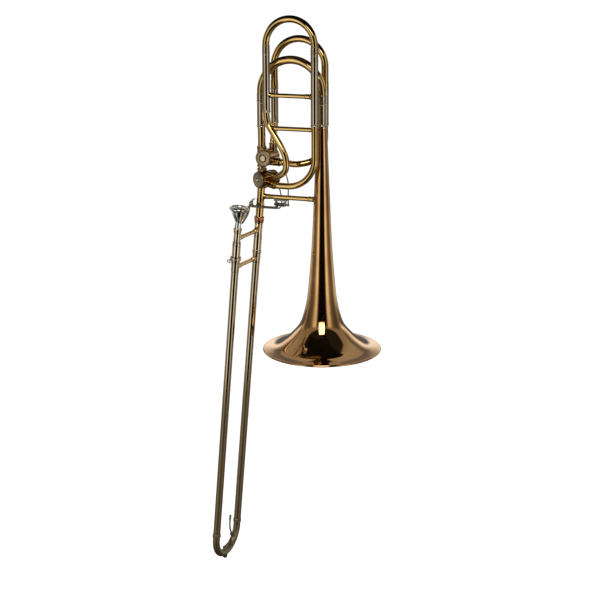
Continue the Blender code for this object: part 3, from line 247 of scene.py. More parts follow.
def brushed(name, centre, axis, tint, shade, boss, groove):
    """Lathe-turned nickel silver: fine rings, a painted highlight on the boss, painted shade in the
    groove.
    """
    made = blank(name)
    tree = made.node_tree
    place = add(tree, "ShaderNodeTexCoord", {})
    own = add(tree, "ShaderNodeMapping", {"vector_type": "TEXTURE", "Location": centre,
                                         "Rotation": facing(axis).to_euler()},
              [("Vector", place, "Object")])
    rings = add(tree, "ShaderNodeTexWave",
                {"wave_type": "RINGS", "rings_direction": "Z", "Distortion": 1.2, "Detail": 3,
                 "Detail Scale": 2, "Scale": WAVE_PERIOD / (RING_SPACING * MM)},
                [("Vector", own, "Vector")])
    tone = add(tree, "ShaderNodeValToRGB", {}, [("Fac", rings, "Fac")])
    fill_ramp(tone, [(0, linear(shade)), (1, linear(tint))])
    flat = add(tree, "ShaderNodeVectorMath", {"operation": "MULTIPLY", 1: (1, 1, 0)},
               [(0, own, "Vector")])
    distance = add(tree, "ShaderNodeVectorMath", {"operation": "LENGTH"}, [(0, flat, "Vector")])
    reach = add(tree, "ShaderNodeMapRange", {"From Max": CAP_FACE * MM},
                [("Value", distance, "Value")])
    # Painted light by distance from the axis: a painted highlight on the boss, painted shade in the
    # groove round it, and painted shade darkening the face towards the rim.
    boss_highlight_and_groove_shade = add(tree, "ShaderNodeValToRGB", {}, [("Fac", reach, "Result")])
    fill_ramp(boss_highlight_and_groove_shade, [(out / CAP_FACE, linear(code)) for out, code in (
        (0, "FFF6E4"), (boss - 0.3, "FFF6E4"), (boss + 0.2, "2C2416"), (groove - 0.2, "3A3020"),
        (groove + 0.5, "C4BAA4"), (CAP_FACE, "948A76"))])
    tone_with_painted_light = add(tree, "ShaderNodeMix", {"data_type": "RGBA", "blend_type": "MULTIPLY", 0: 1.0},
                 [(6, tone, "Color"), (7, boss_highlight_and_groove_shade, "Color")])
    gloss = add(tree, "ShaderNodeMapRange", {"To Min": 0.28, "To Max": 0.4},
                [("Value", rings, "Fac")])
    bump = add(tree, "ShaderNodeBump", {"Strength": 0.12, "Distance": 0.1 * MM},
               [("Height", rings, "Fac")])
    shader = add(tree, "ShaderNodeBsdfPrincipled", {"Metallic": 1, "Anisotropic": 0.4},
                 [("Base Color", tone_with_painted_light, "Result"), ("Roughness", gloss, "Result"),
                  ("Normal", bump, "Normal")])
    add(tree, "ShaderNodeOutputMaterial", {}, [("Surface", shader, "BSDF")])
    return made


def grained(name, light, dark, size, roughness, relief):
    """A dull stuff with a grain, such as rubber or cork; its size is in millimetres."""
    made = blank(name)
    tree = made.node_tree
    place = add(tree, "ShaderNodeTexCoord", {})
    grain = add(tree, "ShaderNodeTexNoise", {"Scale": 1 / (size * MM), "Detail": 6},
                [("Vector", place, "Object")])
    tone = add(tree, "ShaderNodeValToRGB", {}, [("Fac", grain, "Fac")])
    fill_ramp(tone, [(0.35, linear(dark)), (0.65, linear(light))])
    bump = add(tree, "ShaderNodeBump", {"Strength": relief, "Distance": 0.2 * MM},
               [("Height", grain, "Fac")])
    shader = add(tree, "ShaderNodeBsdfPrincipled", {"Roughness": roughness},
                 [("Base Color", tone, "Color"), ("Normal", bump, "Normal")])
    add(tree, "ShaderNodeOutputMaterial", {}, [("Surface", shader, "BSDF")])
    return made


LOOKS["black_rubber"] = grained("moulded_black_rubber", "2A2A2A", "191919", 0.8, 0.62, 0.3)
LOOKS["cork"] = grained("pressed_cork", "B98E5C", "7C5631", 1.1, 0.85, 0.5)
LOOKS["spring_steel"] = polished("blued_spring_steel", "6E6A66", "45423F", 0.3, 0.1, 0, 0.05)
print("other stuffs: rubber, cork, spring steel")

# %% [markdown]
# ## Light
#
# A catalogue picture of brass is made in a tent of white cloth with black cards: the cloth gives
# the bright bands along each tube, and the cards give the black line down its middle, which makes
# it look round. Here the tent is a large sphere that only reflections see. Its pattern runs by
# compass direction and by height: black in front where the camera stands, white beside that, and
# dark behind but for one low bright band. Overhead are a dim ceiling, a dark hood that leans to the
# right, and one window above the camera. A black card hangs over the bows. The floor and the world
# show plain white to the camera, and two soft lamps light what isn't metal.

# %% Floor and world
FLOOR_LEVEL = -1.06           # below the hand slide when it is drawn right out
CAMERA_WHITE = 1.0
FLOOR_LIFT = 0.57             # glow of the floor where it is looked at
ROOM_LIGHT = 0.55


def shown(tree):
    """1 where the camera, a reflection or glass looks, and 0 for light that falls on a surface."""
    ray = add(tree, "ShaderNodeLightPath", {})
    seen = add(tree, "ShaderNodeMath", {"operation": "MAXIMUM"},
               [(0, ray, "Is Camera Ray"), (1, ray, "Is Glossy Ray")])
    return add(tree, "ShaderNodeMath", {"operation": "MAXIMUM"},
               [(0, seen, "Value"), (1, ray, "Is Transmission Ray")])


world = bpy.data.worlds.new("white_room")
bpy.context.scene.world = world
world.use_nodes = True
tree = world.node_tree
tree.nodes.clear()
white = add(tree, "ShaderNodeBackground", {"Color": (1, 1, 1, 1), "Strength": CAMERA_WHITE})
room = add(tree, "ShaderNodeBackground", {"Color": linear("F2F2F0"), "Strength": ROOM_LIGHT})
both = add(tree, "ShaderNodeMixShader", {},
           [(0, shown(tree), "Value"), (1, room, "Background"), (2, white, "Background")])
add(tree, "ShaderNodeOutputWorld", {}, [("Surface", both, "Shader")])

floor_look = blank("white_floor_cloth")
tree = floor_look.node_tree
lift = add(tree, "ShaderNodeMath", {"operation": "MULTIPLY", 1: FLOOR_LIFT},
           [(0, shown(tree), "Value")])
cloth = add(tree, "ShaderNodeBsdfPrincipled",
            {"Base Color": linear("F4F4F2"), "Roughness": 0.9, "Emission Color": (1, 1, 1, 1)},
            [("Emission Strength", lift, "Value")])
add(tree, "ShaderNodeOutputMaterial", {}, [("Surface", cloth, "BSDF")])


def start_clean():
    """Leave edit mode and deselect everything, because an operator acts on all that is selected."""
    if bpy.context.mode != "OBJECT":
        bpy.ops.object.mode_set(mode="OBJECT")
    bpy.ops.object.select_all(action="DESELECT")


start_clean()
bpy.ops.mesh.primitive_plane_add(size=60, location=(0, 0, FLOOR_LEVEL))
floor = bpy.context.object
floor.name = "floor"
floor.data.materials.append(floor_look)
floor.visible_glossy = False
print("floor at", FLOOR_LEVEL)

# %% The tent that reflections see
TENT_RADIUS = 6
SIDE_BANDS = ((0, 0.008), (24, 0.012), (31, 0.5), (37, 1.9), (50, 1.7), (57, 0.8), (65, 0.4),
              (78, 0.22), (96, 0.22), (106, 0.45), (118, 0.95), (130, 0.9), (144, 0.55),
              (155, 0.4), (166, 0.15), (180, 0.1))     # degrees away from the camera, brightness
FRONT_HEIGHTS = ((-90, 0.14), (-60, 0.16), (-42, 0.24), (-30, 0.38), (-23, 0.7), (-20, 1.0),
                 (-11, 1.0), (-7, 0.75), (2, 0.55), (15, 0.5), (25, 0.55), (90, 0.4))
BACK_HEIGHTS = ((-90, 0.12), (4, 0.12), (8, 0.5), (11, 1.2), (16, 1.2), (20, 0.6), (24, 0.2),
                (29, 0.16), (35, 0.4), (60, 0.44), (90, 0.44))
CEILING = 0.33
CEILING_FADE = (24, 34)       # degrees up, where the side bands give way to the ceiling
BACK_FADE = (106, 128)
BACK_RISE = (-9, -2)
HOOD_TURN, HOOD_RISE = 20, 78                     # the middle of the dark hood overhead
HOOD_INNER, HOOD_OUTER = 40, 46
HOOD_BACK = (0.1, 0.2)        # where it ends towards the back, in shares of the tent's radius
HOOD_LIGHT = 0.06             # share of the light that it lets through
WINDOW_MIDDLE, WINDOW_HALF_WIDTH = 2, 16
WINDOW_LOW, WINDOW_HIGH = 20, 58
WINDOW_LIGHT = 5.0
TENT_TINT = (1, 0.985, 0.95, 1)
CARD_PLACE = (-0.06, -0.05, 0.79)     # a black card held just above the bows
CARD_SIZE = (0.8, 0.7)
LAMPS = (("soft_key", (1.6, -2.0, 2.2), 55, 1.6),
         ("soft_fill", (-2.4, -1.2, 1.4), 28, 1.8))      # name, place, watts, side
LAMP_TARGET = Vector((0, 0, 0.1))


def bands_by(tree, bands, low, high, degrees):
    """Brightness in bands: (degrees, brightness) pairs between low and high, by an angle."""
    share = add(tree, "ShaderNodeMapRange", {"From Min": low, "From Max": high},
                [("Value", degrees, "Value")])
    pattern = add(tree, "ShaderNodeValToRGB", {}, [("Fac", share, "Result")])
    fill_ramp(pattern, [((angle - low) / (high - low), (bright, bright, bright, 1))
                        for angle, bright in bands])
    return pattern


def smooth_step(low, high, start=0.0, stop=1.0):
    """The settings of a Map Range that goes smoothly from start to stop between low and high."""
    return {"interpolation_type": "SMOOTHSTEP", "From Min": low, "From Max": high,
            "To Min": start, "To Max": stop}


def compass_way(turn, rise):
    """A direction, given in degrees to the right of the camera's bearing and upwards."""
    bearing = CAMERA_AZIMUTH + math.radians(turn)
    rise = math.radians(rise)
    return Vector((math.sin(bearing) * math.cos(rise), -math.cos(bearing) * math.cos(rise),
                   math.sin(rise)))


# %% The tent's walls and ceiling
tent_look = blank("studio_tent")
tree = tent_look.node_tree
place = add(tree, "ShaderNodeTexCoord", {})
way = add(tree, "ShaderNodeVectorMath", {"operation": "NORMALIZE"}, [(0, place, "Object")])
axes = add(tree, "ShaderNodeSeparateXYZ", {}, [("Vector", way, "Vector")])
compass = add(tree, "ShaderNodeMath", {"operation": "ARCTAN2"}, [(0, axes, "X"), (1, axes, "Y")])
bearing = add(tree, "ShaderNodeMath", {"operation": "SUBTRACT", 1: math.pi - CAMERA_AZIMUTH},
              [(0, compass, "Value")])
wrapped = add(tree, "ShaderNodeMath", {"operation": "WRAP", 1: math.pi, 2: -math.pi},
              [(0, bearing, "Value")])
signed = add(tree, "ShaderNodeMath", {"operation": "DEGREES"}, [(0, wrapped, "Value")])
turn = add(tree, "ShaderNodeMath", {"operation": "ABSOLUTE"}, [(0, signed, "Value")])
slope = add(tree, "ShaderNodeMath", {"operation": "ARCSINE"}, [(0, axes, "Z")])
rise = add(tree, "ShaderNodeMath", {"operation": "DEGREES"}, [(0, slope, "Value")])
sides = bands_by(tree, SIDE_BANDS, 0, 180, turn)
front = bands_by(tree, FRONT_HEIGHTS, -90, 90, rise)
back = bands_by(tree, BACK_HEIGHTS, -90, 90, rise)
front_walls = add(tree, "ShaderNodeMath", {"operation": "MULTIPLY"},
                  [(0, sides, "Color"), (1, front, "Color")])
behind = add(tree, "ShaderNodeMapRange", smooth_step(*BACK_FADE), [("Value", turn, "Value")])
raised = add(tree, "ShaderNodeMapRange", smooth_step(*BACK_RISE), [("Value", rise, "Value")])
back_share = add(tree, "ShaderNodeMath", {"operation": "MULTIPLY"},
                 [(0, behind, "Result"), (1, raised, "Result")])
walls = add(tree, "ShaderNodeMix", {"data_type": "FLOAT"},
            [(0, back_share, "Value"), (2, front_walls, "Value"), (3, back, "Color")])
high_up = add(tree, "ShaderNodeMapRange", smooth_step(*CEILING_FADE), [("Value", rise, "Value")])
not_behind = add(tree, "ShaderNodeMapRange", smooth_step(*BACK_FADE, 1.0, 0.0),
                 [("Value", turn, "Value")])
overhead = add(tree, "ShaderNodeMath", {"operation": "MULTIPLY"},
               [(0, high_up, "Result"), (1, not_behind, "Result")])
roofed = add(tree, "ShaderNodeMix", {"data_type": "FLOAT", 3: CEILING},
             [(0, overhead, "Value"), (2, walls, "Result")])
print("tent with", len(SIDE_BANDS), "bands round it and a ceiling of", CEILING)

# %% The tent's hood and window
to_hood = add(tree, "ShaderNodeVectorMath",
              {"operation": "DOT_PRODUCT", 1: compass_way(HOOD_TURN, HOOD_RISE)},
              [(0, way, "Vector")])
hood_angle = add(tree, "ShaderNodeMath", {"operation": "ARCCOSINE"}, [(0, to_hood, "Value")])
apart = add(tree, "ShaderNodeMath", {"operation": "DEGREES"}, [(0, hood_angle, "Value")])
hood_round = add(tree, "ShaderNodeMapRange", smooth_step(HOOD_INNER, HOOD_OUTER, 1.0, 0.0),
                 [("Value", apart, "Value")])
backwards = add(tree, "ShaderNodeVectorMath",
                {"operation": "DOT_PRODUCT", 1: compass_way(180, 0)}, [(0, way, "Vector")])
hood_end = add(tree, "ShaderNodeMapRange", smooth_step(*HOOD_BACK, 1.0, 0.0),
               [("Value", backwards, "Value")])
hood = add(tree, "ShaderNodeMath", {"operation": "MULTIPLY"},
           [(0, hood_round, "Result"), (1, hood_end, "Result")])
let_through = add(tree, "ShaderNodeMapRange", smooth_step(0, 1, 1.0, HOOD_LIGHT),
                  [("Value", hood, "Value")])
hooded = add(tree, "ShaderNodeMath", {"operation": "MULTIPLY"},
             [(0, roofed, "Result"), (1, let_through, "Result")])
off_middle = add(tree, "ShaderNodeMath", {"operation": "SUBTRACT", 1: WINDOW_MIDDLE},
                 [(0, signed, "Value")])
beside = add(tree, "ShaderNodeMath", {"operation": "ABSOLUTE"}, [(0, off_middle, "Value")])
near = add(tree, "ShaderNodeMath", {"operation": "LESS_THAN", 1: WINDOW_HALF_WIDTH},
           [(0, beside, "Value")])
above = add(tree, "ShaderNodeMath", {"operation": "GREATER_THAN", 1: WINDOW_LOW},
            [(0, rise, "Value")])
below = add(tree, "ShaderNodeMath", {"operation": "LESS_THAN", 1: WINDOW_HIGH},
            [(0, rise, "Value")])
in_height = add(tree, "ShaderNodeMath", {"operation": "MULTIPLY"},
                [(0, above, "Value"), (1, below, "Value")])
pane = add(tree, "ShaderNodeMath", {"operation": "MULTIPLY"},
           [(0, near, "Value"), (1, in_height, "Value")])
whole = add(tree, "ShaderNodeMath", {"operation": "MULTIPLY_ADD", 1: WINDOW_LIGHT},
            [(0, pane, "Value"), (2, hooded, "Value")])
glow = add(tree, "ShaderNodeEmission", {"Color": TENT_TINT}, [("Strength", whole, "Value")])
add(tree, "ShaderNodeOutputMaterial", {}, [("Surface", glow, "Emission")])
print("window of", 2 * WINDOW_HALF_WIDTH, "degrees, from", WINDOW_LOW, "to", WINDOW_HIGH, "up")


# %% Tent, card and lamps
def for_reflections_only(prop):
    """Hide a piece of the studio from the camera and from light, so that only metal shows it."""
    prop.visible_camera = False
    prop.visible_diffuse = False
    prop.visible_shadow = False
    prop.visible_volume_scatter = False


start_clean()
bpy.ops.mesh.primitive_uv_sphere_add(segments=64, ring_count=32, radius=TENT_RADIUS)
tent = bpy.context.object
tent.name = "studio_tent"
tent.data.materials.append(tent_look)
for_reflections_only(tent)

start_clean()
bpy.ops.mesh.primitive_plane_add(size=1, location=CARD_PLACE)
card = bpy.context.object
card.name = "black_card"
card.scale = (*CARD_SIZE, 1)
card_look = blank("black_velvet_card")
tree = card_look.node_tree
velvet = add(tree, "ShaderNodeBsdfPrincipled", {"Base Color": linear("0A0A0A"), "Roughness": 1.0})
add(tree, "ShaderNodeOutputMaterial", {}, [("Surface", velvet, "BSDF")])
card.data.materials.append(card_look)
for_reflections_only(card)

for name, spot, power, size in LAMPS:
    start_clean()
    bpy.ops.object.light_add(type="AREA", location=spot)
    lamp = bpy.context.object
    lamp.name = name
    lamp.data.energy = power
    lamp.data.size = size
    lamp.rotation_euler = facing(Vector(spot) - LAMP_TARGET).to_euler()
    lamp.visible_glossy = False
print("tent, floor and two lamps are up")

# %% [markdown]
# ## How the pieces are made
#
# A trombone is nearly all tube. A turned piece starts as a circle, which is extruded and resized
# from station to station, as a lathe's tool goes along a profile. A bent tube follows its route as
# a curve with a round bevel, as tube does in a bender, and is then given its wall. Both ways leave
# the finished object at the origin, with its place in its mesh.

# %% Tools for turned pieces
SMOOTH_ANGLE = math.radians(38)
MERGE = 0.01 * MM
EDGE = 0.22                   # millimetres that a turned edge is broken by
TUBE_SIDES = 40
DRUM_SIDES = 72


def settle(piece, base, axis):
    """Stand a piece on its base along its axis, and put its place into its mesh."""
    if bpy.context.mode != "OBJECT":
        bpy.ops.object.mode_set(mode="OBJECT")
    piece.matrix_world = Matrix.Translation(base) @ facing(axis)
    bpy.ops.object.transform_apply(location=True, rotation=True, scale=True)
    return piece


def apply_change(piece, kind, **settings):
    """Add a modifier to the piece, set it and apply it."""
    start_clean()
    piece.select_set(True)
    bpy.context.view_layer.objects.active = piece
    bpy.ops.object.modifier_add(type=kind)
    change = piece.modifiers[-1]
    for key, value in settings.items():
        setattr(change, key, value)
    bpy.ops.object.modifier_apply(modifier=change.name)
    return piece


def turned(name, stations, base=Vector(), axis=UP, sides=TUBE_SIDES, hollow=True, edge=EDGE):
    """A turned piece; stations are (radius, height) in millimetres, round a wall if hollow."""
    start_clean()
    radius, height = stations[0]
    bpy.ops.mesh.primitive_circle_add(vertices=sides, radius=radius * MM)
    piece = bpy.context.object
    piece.name = name
    bpy.ops.object.mode_set(mode="EDIT")
    bpy.ops.transform.translate(value=(0, 0, height * MM))
    for wide, high in [*stations[1:], stations[0]] if hollow else stations[1:]:
        bpy.ops.mesh.extrude_region_move(
            TRANSFORM_OT_translate={"value": (0, 0, (high - height) * MM)})
        grow = wide / radius
        bpy.ops.transform.resize(value=(grow, grow, 1), center_override=(0, 0, high * MM))
        radius, height = wide, high
    bpy.ops.mesh.select_all(action="SELECT")
    bpy.ops.mesh.remove_doubles(threshold=MERGE)
    if not hollow:
        bpy.ops.mesh.fill_holes(sides=0)
        bpy.ops.mesh.select_all(action="SELECT")
    bpy.ops.mesh.normals_make_consistent(inside=False)
    settle(piece, base, axis)
    if edge:
        apply_change(piece, "BEVEL", width=edge * MM, segments=2, limit_method="ANGLE",
                     angle_limit=SMOOTH_ANGLE)
    return piece


def rod(name, start, end, diameter, sides=TUBE_SIDES, edge=0):
    """A plain round bar from one point to another; its diameter is in millimetres."""
    length = (end - start).length / MM
    return turned(name, [(diameter / 2, length), (diameter / 2, 0)], start, end - start, sides,
                  hollow=False, edge=edge)


# %% Tools for bent pieces
PIPE_STEPS = 7                # points between two bends of a route
PIPE_BEVEL = 14               # Blender draws 4 sides and twice this number


def smooth_route(points, between=PIPE_STEPS):
    """A smooth curve through points; its speed follows their spacing, so it doesn't overshoot."""
    ends = [points[0] * 2 - points[1], *points, points[-1] * 2 - points[-2]]
    route = []
    for before, here, after, later in zip(ends, ends[1:], ends[2:], ends[3:]):
        lead = math.sqrt((here - before).length)
        span = math.sqrt((after - here).length)
        tail = math.sqrt((later - after).length)
        leave = after - here + span * ((here - before) / lead - (after - before) / (lead + span))
        arrive = after - here + span * ((later - after) / tail - (later - here) / (span + tail))
        for step in range(between):
            t = step / between
            route.append(here * (2 * t ** 3 - 3 * t ** 2 + 1) + leave * (t ** 3 - 2 * t ** 2 + t)
                         + after * (3 * t ** 2 - 2 * t ** 3) + arrive * (t ** 3 - t ** 2))
    route.append(points[-1])
    return route


def arc(centre, first, second, radius, start, end, steps):
    """Points from one angle to another in the plane of two unit directions."""
    return [centre + radius * (first * math.cos(angle) + second * math.sin(angle))
            for angle in (start + (end - start) * step / steps for step in range(steps + 1))]


def helix(centre, first, second, radius, drift, start, turns, steps):
    """A coil about a centre in the plane of two unit directions, which drifts by a vector."""
    route = []
    for step in range(steps + 1):
        angle = start + math.tau * turns * step / steps
        route.append(centre + drift * step / steps
                     + radius * (first * math.cos(angle) + second * math.sin(angle)))
    return route


def bent(name, route, diameter, wall=0.0, bevel=PIPE_BEVEL):
    """A wire along a route, or a tube where a wall is given; both sizes are in millimetres."""
    start_clean()
    bpy.ops.curve.primitive_nurbs_path_add()
    piece = bpy.context.object
    piece.name = name
    piece.data.splines.clear()
    run = piece.data.splines.new("POLY")
    run.points.add(len(route) - 1)
    for point, spot in zip(run.points, route):
        point.co = (*spot, 1)
    piece.data.bevel_depth = diameter / 2 * MM
    piece.data.bevel_resolution = bevel
    piece.data.use_fill_caps = wall == 0
    bpy.ops.object.convert(target="MESH")
    bpy.ops.object.mode_set(mode="EDIT")
    bpy.ops.mesh.select_all(action="SELECT")
    bpy.ops.mesh.remove_doubles(threshold=MERGE)
    bpy.ops.mesh.normals_make_consistent(inside=False)
    settle(piece, Vector(), UP)
    if wall:
        apply_change(piece, "SOLIDIFY", thickness=wall * MM, offset=-1)
    return piece


# %% Tools for joining, cutting and dressing
def combine(first, second, operation="UNION", solver="MANIFOLD"):
    """Join a second solid to the first, or cut it away, and remove it."""
    apply_change(first, "BOOLEAN", operation=operation, object=second, solver=solver)
    bpy.data.objects.remove(second)
    return first


def press_in(piece, base, axis, band, radius, depth_at):
    """Press a turned piece's outside inwards between two heights, by a depth for each angle."""
    low, high = band
    turn = facing(axis)
    turn_back = (Matrix.Translation(base) @ turn).inverted()
    for vertex in piece.data.vertices:
        spot = turn_back @ vertex.co
        reach = math.hypot(spot.x, spot.y)
        if low * MM < spot.z < high * MM and reach > (radius - 0.5) * MM:
            depth = depth_at(math.atan2(spot.y, spot.x))
            vertex.co = vertex.co - turn @ Vector((spot.x, spot.y, 0)) * (depth * MM / reach)


def gather(name, pieces):
    """Make several closed shells one object, as soldered or pressed parts are."""
    start_clean()
    for piece in pieces:
        piece.select_set(True)
    bpy.context.view_layer.objects.active = pieces[0]
    bpy.ops.object.join()
    pieces[0].name = name
    return pieces[0]


made_faces = 0


def dress(piece, look, body, *nodes):
    """Give a piece its metal and its body, and hide the solids of the frame that it stands for."""
    global made_faces
    start_clean()
    piece.select_set(True)
    bpy.context.view_layer.objects.active = piece
    piece.data.materials.clear()
    piece.data.materials.append(LOOKS[look])
    bpy.ops.object.shade_smooth_by_angle(angle=SMOOTH_ANGLE)
    apply_change(piece, "WEIGHTED_NORMAL", keep_sharp=True, weight=60)
    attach(piece, body)
    if nodes:
        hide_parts(*nodes)
    made_faces += len(piece.data.polygons)
    return piece


# %% [markdown]
# ## Bell
#
# The bell is one sheet of rose brass, spun over a mandrel until it is well under a millimetre
# thick, with its mouth rolled round a wire so that the edge is stiff and safe. The same stations
# as the solid's are joined by a smooth curve here, and the ring is drawn down the outside, round
# the bead and up the inside in one go.

# %% The bell with its rolled rim
BELL_SIDES = 128
BELL_WALL = 0.9
BELL_TOP = 452
BELL_TAIL_RADIUS = 10.45
MOUTH_RADIUS = 120.5
BEAD = 2.3
BELL_STATIONS = ((8, 95.5), (20, 77), (34, 62), (54, 45.5), (79, 36.5), (104, 31), (129, 27.75),
                 (160, 25), (200, 21.75), (250, 18.9), (300, 16.75), (350, 14.6), (400, 12.5),
                 (BELL_TOP, BELL_TAIL_RADIUS))   # height and outer radius


def bell_line():
    """The outer line of the bell from the tail down to the bead, as (radius, height)."""
    bead_join = Vector((MOUTH_RADIUS - BEAD - 1.2, 0, BEAD * 2 - 0.1))
    points = [Vector((radius, 0, height)) for height, radius in reversed(BELL_STATIONS)]
    return [(p.x, p.z) for p in smooth_route([*points, bead_join], 4)]


outside = bell_line()
curl = [(MOUTH_RADIUS - BEAD + BEAD * math.cos(angle), BEAD + BEAD * math.sin(angle))
        for angle in (math.radians(100 - 25 * step) for step in range(11))]
inside = [(radius - BELL_WALL, height - BELL_WALL * 0.4) for radius, height in reversed(outside)]
inside[-1] = (BELL_TAIL_RADIUS - BELL_WALL, BELL_TOP)
bell = turned("spun_bell", outside + curl + inside[1:], sides=BELL_SIDES, edge=0)
dress(bell, "rose_brass", "bell_section", "bell")
print("bell:", len(bell.data.polygons), "faces")

# %% [markdown]
# ## Tuning slides
#
# Each tuning slide is a bow of yellow brass, soldered into two ferrules that carry the inner legs,
# and the legs draw out of two sleeves. Ferrules, legs and sleeves are nickel silver, apart from the
# second valve's legs, which are brass. Sleeves end in beads, which the photograph shows as dark
# rings, with a fine second line that the lathe cuts beside each.

# %% Sizes of the loops
GAP = 0.35
FACE_GAP = 0.3
MAIN_SPREAD, MAIN_TUBE, MAIN_LEG = 126, 16.3, 15.3
MAIN_SPRING, MAIN_BOW_END, MAIN_SLEEVE_TOP, NECK_SLEEVE_BOTTOM = 521, 517.5, 503.3, 450
LOOP_OFFSET, LOOP_TUBE, LOOP_LEG, TUBE_WALL = 26, 13.9, 12.8, 0.7
FIRST_LEFT, FIRST_SPREAD, FIRST_SPRING, FIRST_SLEEVE_TOP = -105.4, 99, 614.5, 600.5
FIRST_LEFT_BOTTOM, FIRST_RIGHT_BOTTOM = 483, 459
SECOND_LEFT, SECOND_SPREAD, SECOND_SPRING, SECOND_BOW_END = -107.5, 105.3, 570, 541
SECOND_SLEEVE_TOP, SECOND_SLEEVE_BOTTOM = 525, 455
FIRST_RIGHT = FIRST_LEFT + FIRST_SPREAD
SECOND_RIGHT = SECOND_LEFT + SECOND_SPREAD
TAIL_OVERLAP = 7
SLEEVE_WALL = 0.65
BEAD_RISE = 0.75
LEG_WALL = 0.55


def mm(x, y, z):
    """A place given in millimetres."""
    return Vector((x, y, z)) * MM


def beaded_top(outer, top):
    """Stations of a bead at the top end of a sleeve, with a fine line below it."""
    wide = outer + BEAD_RISE
    return [(outer + 0.25, top), (wide - 0.1, top - 0.35), (wide, top - 1.4),
            (wide - 0.1, top - 2.5), (outer + 0.1, top - 3.1), (outer, top - 4.6),
            (outer + 0.22, top - 4.9), (outer + 0.22, top - 5.5), (outer, top - 5.8)]


def beaded_foot(outer):
    """The same at the bottom end, from the tube down."""
    return [(radius, -height) for radius, height in reversed(beaded_top(outer, 0))]


def sleeve(node, x, y, top, bottom, leg):
    """An outer sleeve: a bead and a line at each end."""
    inner = leg / 2 + GAP
    outer = inner + SLEEVE_WALL
    height = top - bottom
    piece = turned("turned_" + node, [*beaded_top(outer, height), *beaded_foot(outer),
                                      (inner, 0), (inner, height)], mm(x, y, bottom), edge=0)
    return dress(piece, "nickel_silver", "bell_section", node)


def slide_leg(node, body, x, y, bow_end, sleeve_top, bottom, leg, tube, look="nickel_silver"):
    """An inner leg with its ferrule, which is rolled in at both ends and has a line near its foot."""
    outer, ferrule = leg / 2, tube / 2 + 0.5
    top, foot = bow_end - FACE_GAP - bottom, sleeve_top + FACE_GAP - bottom
    piece = turned("turned_" + node,
                   [(ferrule - 0.3, top), (ferrule, top - 0.5), (ferrule, foot + 4.4),
                    (ferrule + 0.25, foot + 4.1), (ferrule + 0.25, foot + 3.5),
                    (ferrule, foot + 3.2), (ferrule, foot + 0.5), (ferrule - 0.4, foot),
                    (outer, foot), (outer, 0), (outer - LEG_WALL, 0), (outer - LEG_WALL, top)],
                   mm(x, y, bottom), edge=0)
    return dress(piece, look, body, node)


BOW_STEPS = 40


def slide_bow(node, body, left, spread, y, spring, end, diameter):
    """A bow: a circle at the foot of one leg is spun half a turn to the other."""
    start_clean()
    bpy.ops.mesh.primitive_circle_add(vertices=TUBE_SIDES, radius=diameter / 2 * MM,
                                      location=mm(left, y, end))
    piece = bpy.context.object
    piece.name = "bent_" + node
    bpy.ops.object.mode_set(mode="EDIT")
    bpy.ops.mesh.select_all(action="SELECT")
    bpy.ops.mesh.extrude_region_move(TRANSFORM_OT_translate={"value": (0, 0, (spring - end) * MM)})
    bpy.ops.mesh.spin(steps=BOW_STEPS, angle=math.pi, axis=(0, -1, 0),
                      center=mm(left + spread / 2, y, spring))
    bpy.ops.mesh.extrude_region_move(TRANSFORM_OT_translate={"value": (0, 0, (end - spring) * MM)})
    bpy.ops.mesh.select_all(action="SELECT")
    bpy.ops.mesh.remove_doubles(threshold=MERGE)
    bpy.ops.mesh.normals_make_consistent(inside=False)
    bpy.ops.object.mode_set(mode="OBJECT")
    bpy.ops.object.transform_apply(location=True, rotation=True, scale=True)
    apply_change(piece, "SOLIDIFY", thickness=TUBE_WALL * MM, offset=-1)
    return dress(piece, "yellow_brass", body, node)


# %% The three tuning slides
sleeve("neck_sleeve", -MAIN_SPREAD, 0, MAIN_SLEEVE_TOP, NECK_SLEEVE_BOTTOM, MAIN_LEG)
tail_bottom = BELL_TOP - TAIL_OVERLAP
tail_height = MAIN_SLEEVE_TOP - tail_bottom
inner = MAIN_LEG / 2 + GAP
outer = inner + SLEEVE_WALL
lip = TAIL_OVERLAP + FACE_GAP
collar = outer + BEAD_RISE + 0.6
tail = turned("turned_bell_tail_sleeve",
              [*beaded_top(outer, tail_height), (outer, lip + 8), (outer + 0.5, lip + 7.2),
               (collar - 0.2, lip + 6.4), (collar, lip + 5.6), (collar, lip + 0.8),
               (collar - 0.3, lip), (outer, lip), (outer, 0), (inner, 0), (inner, tail_height)],
              mm(0, 0, tail_bottom), edge=0)
dress(tail, "nickel_silver", "bell_section", "bell_tail_sleeve")
for side, x in (("left", -MAIN_SPREAD), ("right", 0)):
    slide_leg(f"main_slide_leg_{side}", "main_tuning_slide", x, 0, MAIN_BOW_END, MAIN_SLEEVE_TOP,
              NECK_SLEEVE_BOTTOM + 8, MAIN_LEG, MAIN_TUBE)
slide_bow("main_slide_bow", "main_tuning_slide", -MAIN_SPREAD, MAIN_SPREAD, 0, MAIN_SPRING,
          MAIN_BOW_END, MAIN_TUBE)

for side, x, bottom in (("left", FIRST_LEFT, FIRST_LEFT_BOTTOM),
                        ("right", FIRST_RIGHT, FIRST_RIGHT_BOTTOM)):
    sleeve(f"first_sleeve_{side}", x, -LOOP_OFFSET, FIRST_SLEEVE_TOP, bottom, LOOP_LEG)
    slide_leg(f"first_slide_leg_{side}", "first_tuning_slide", x, -LOOP_OFFSET, FIRST_SPRING - 2,
              FIRST_SLEEVE_TOP, FIRST_LEFT_BOTTOM + 12, LOOP_LEG, LOOP_TUBE)
slide_bow("first_slide_bow", "first_tuning_slide", FIRST_LEFT, FIRST_SPREAD, -LOOP_OFFSET,
          FIRST_SPRING, FIRST_SPRING - 2, LOOP_TUBE)

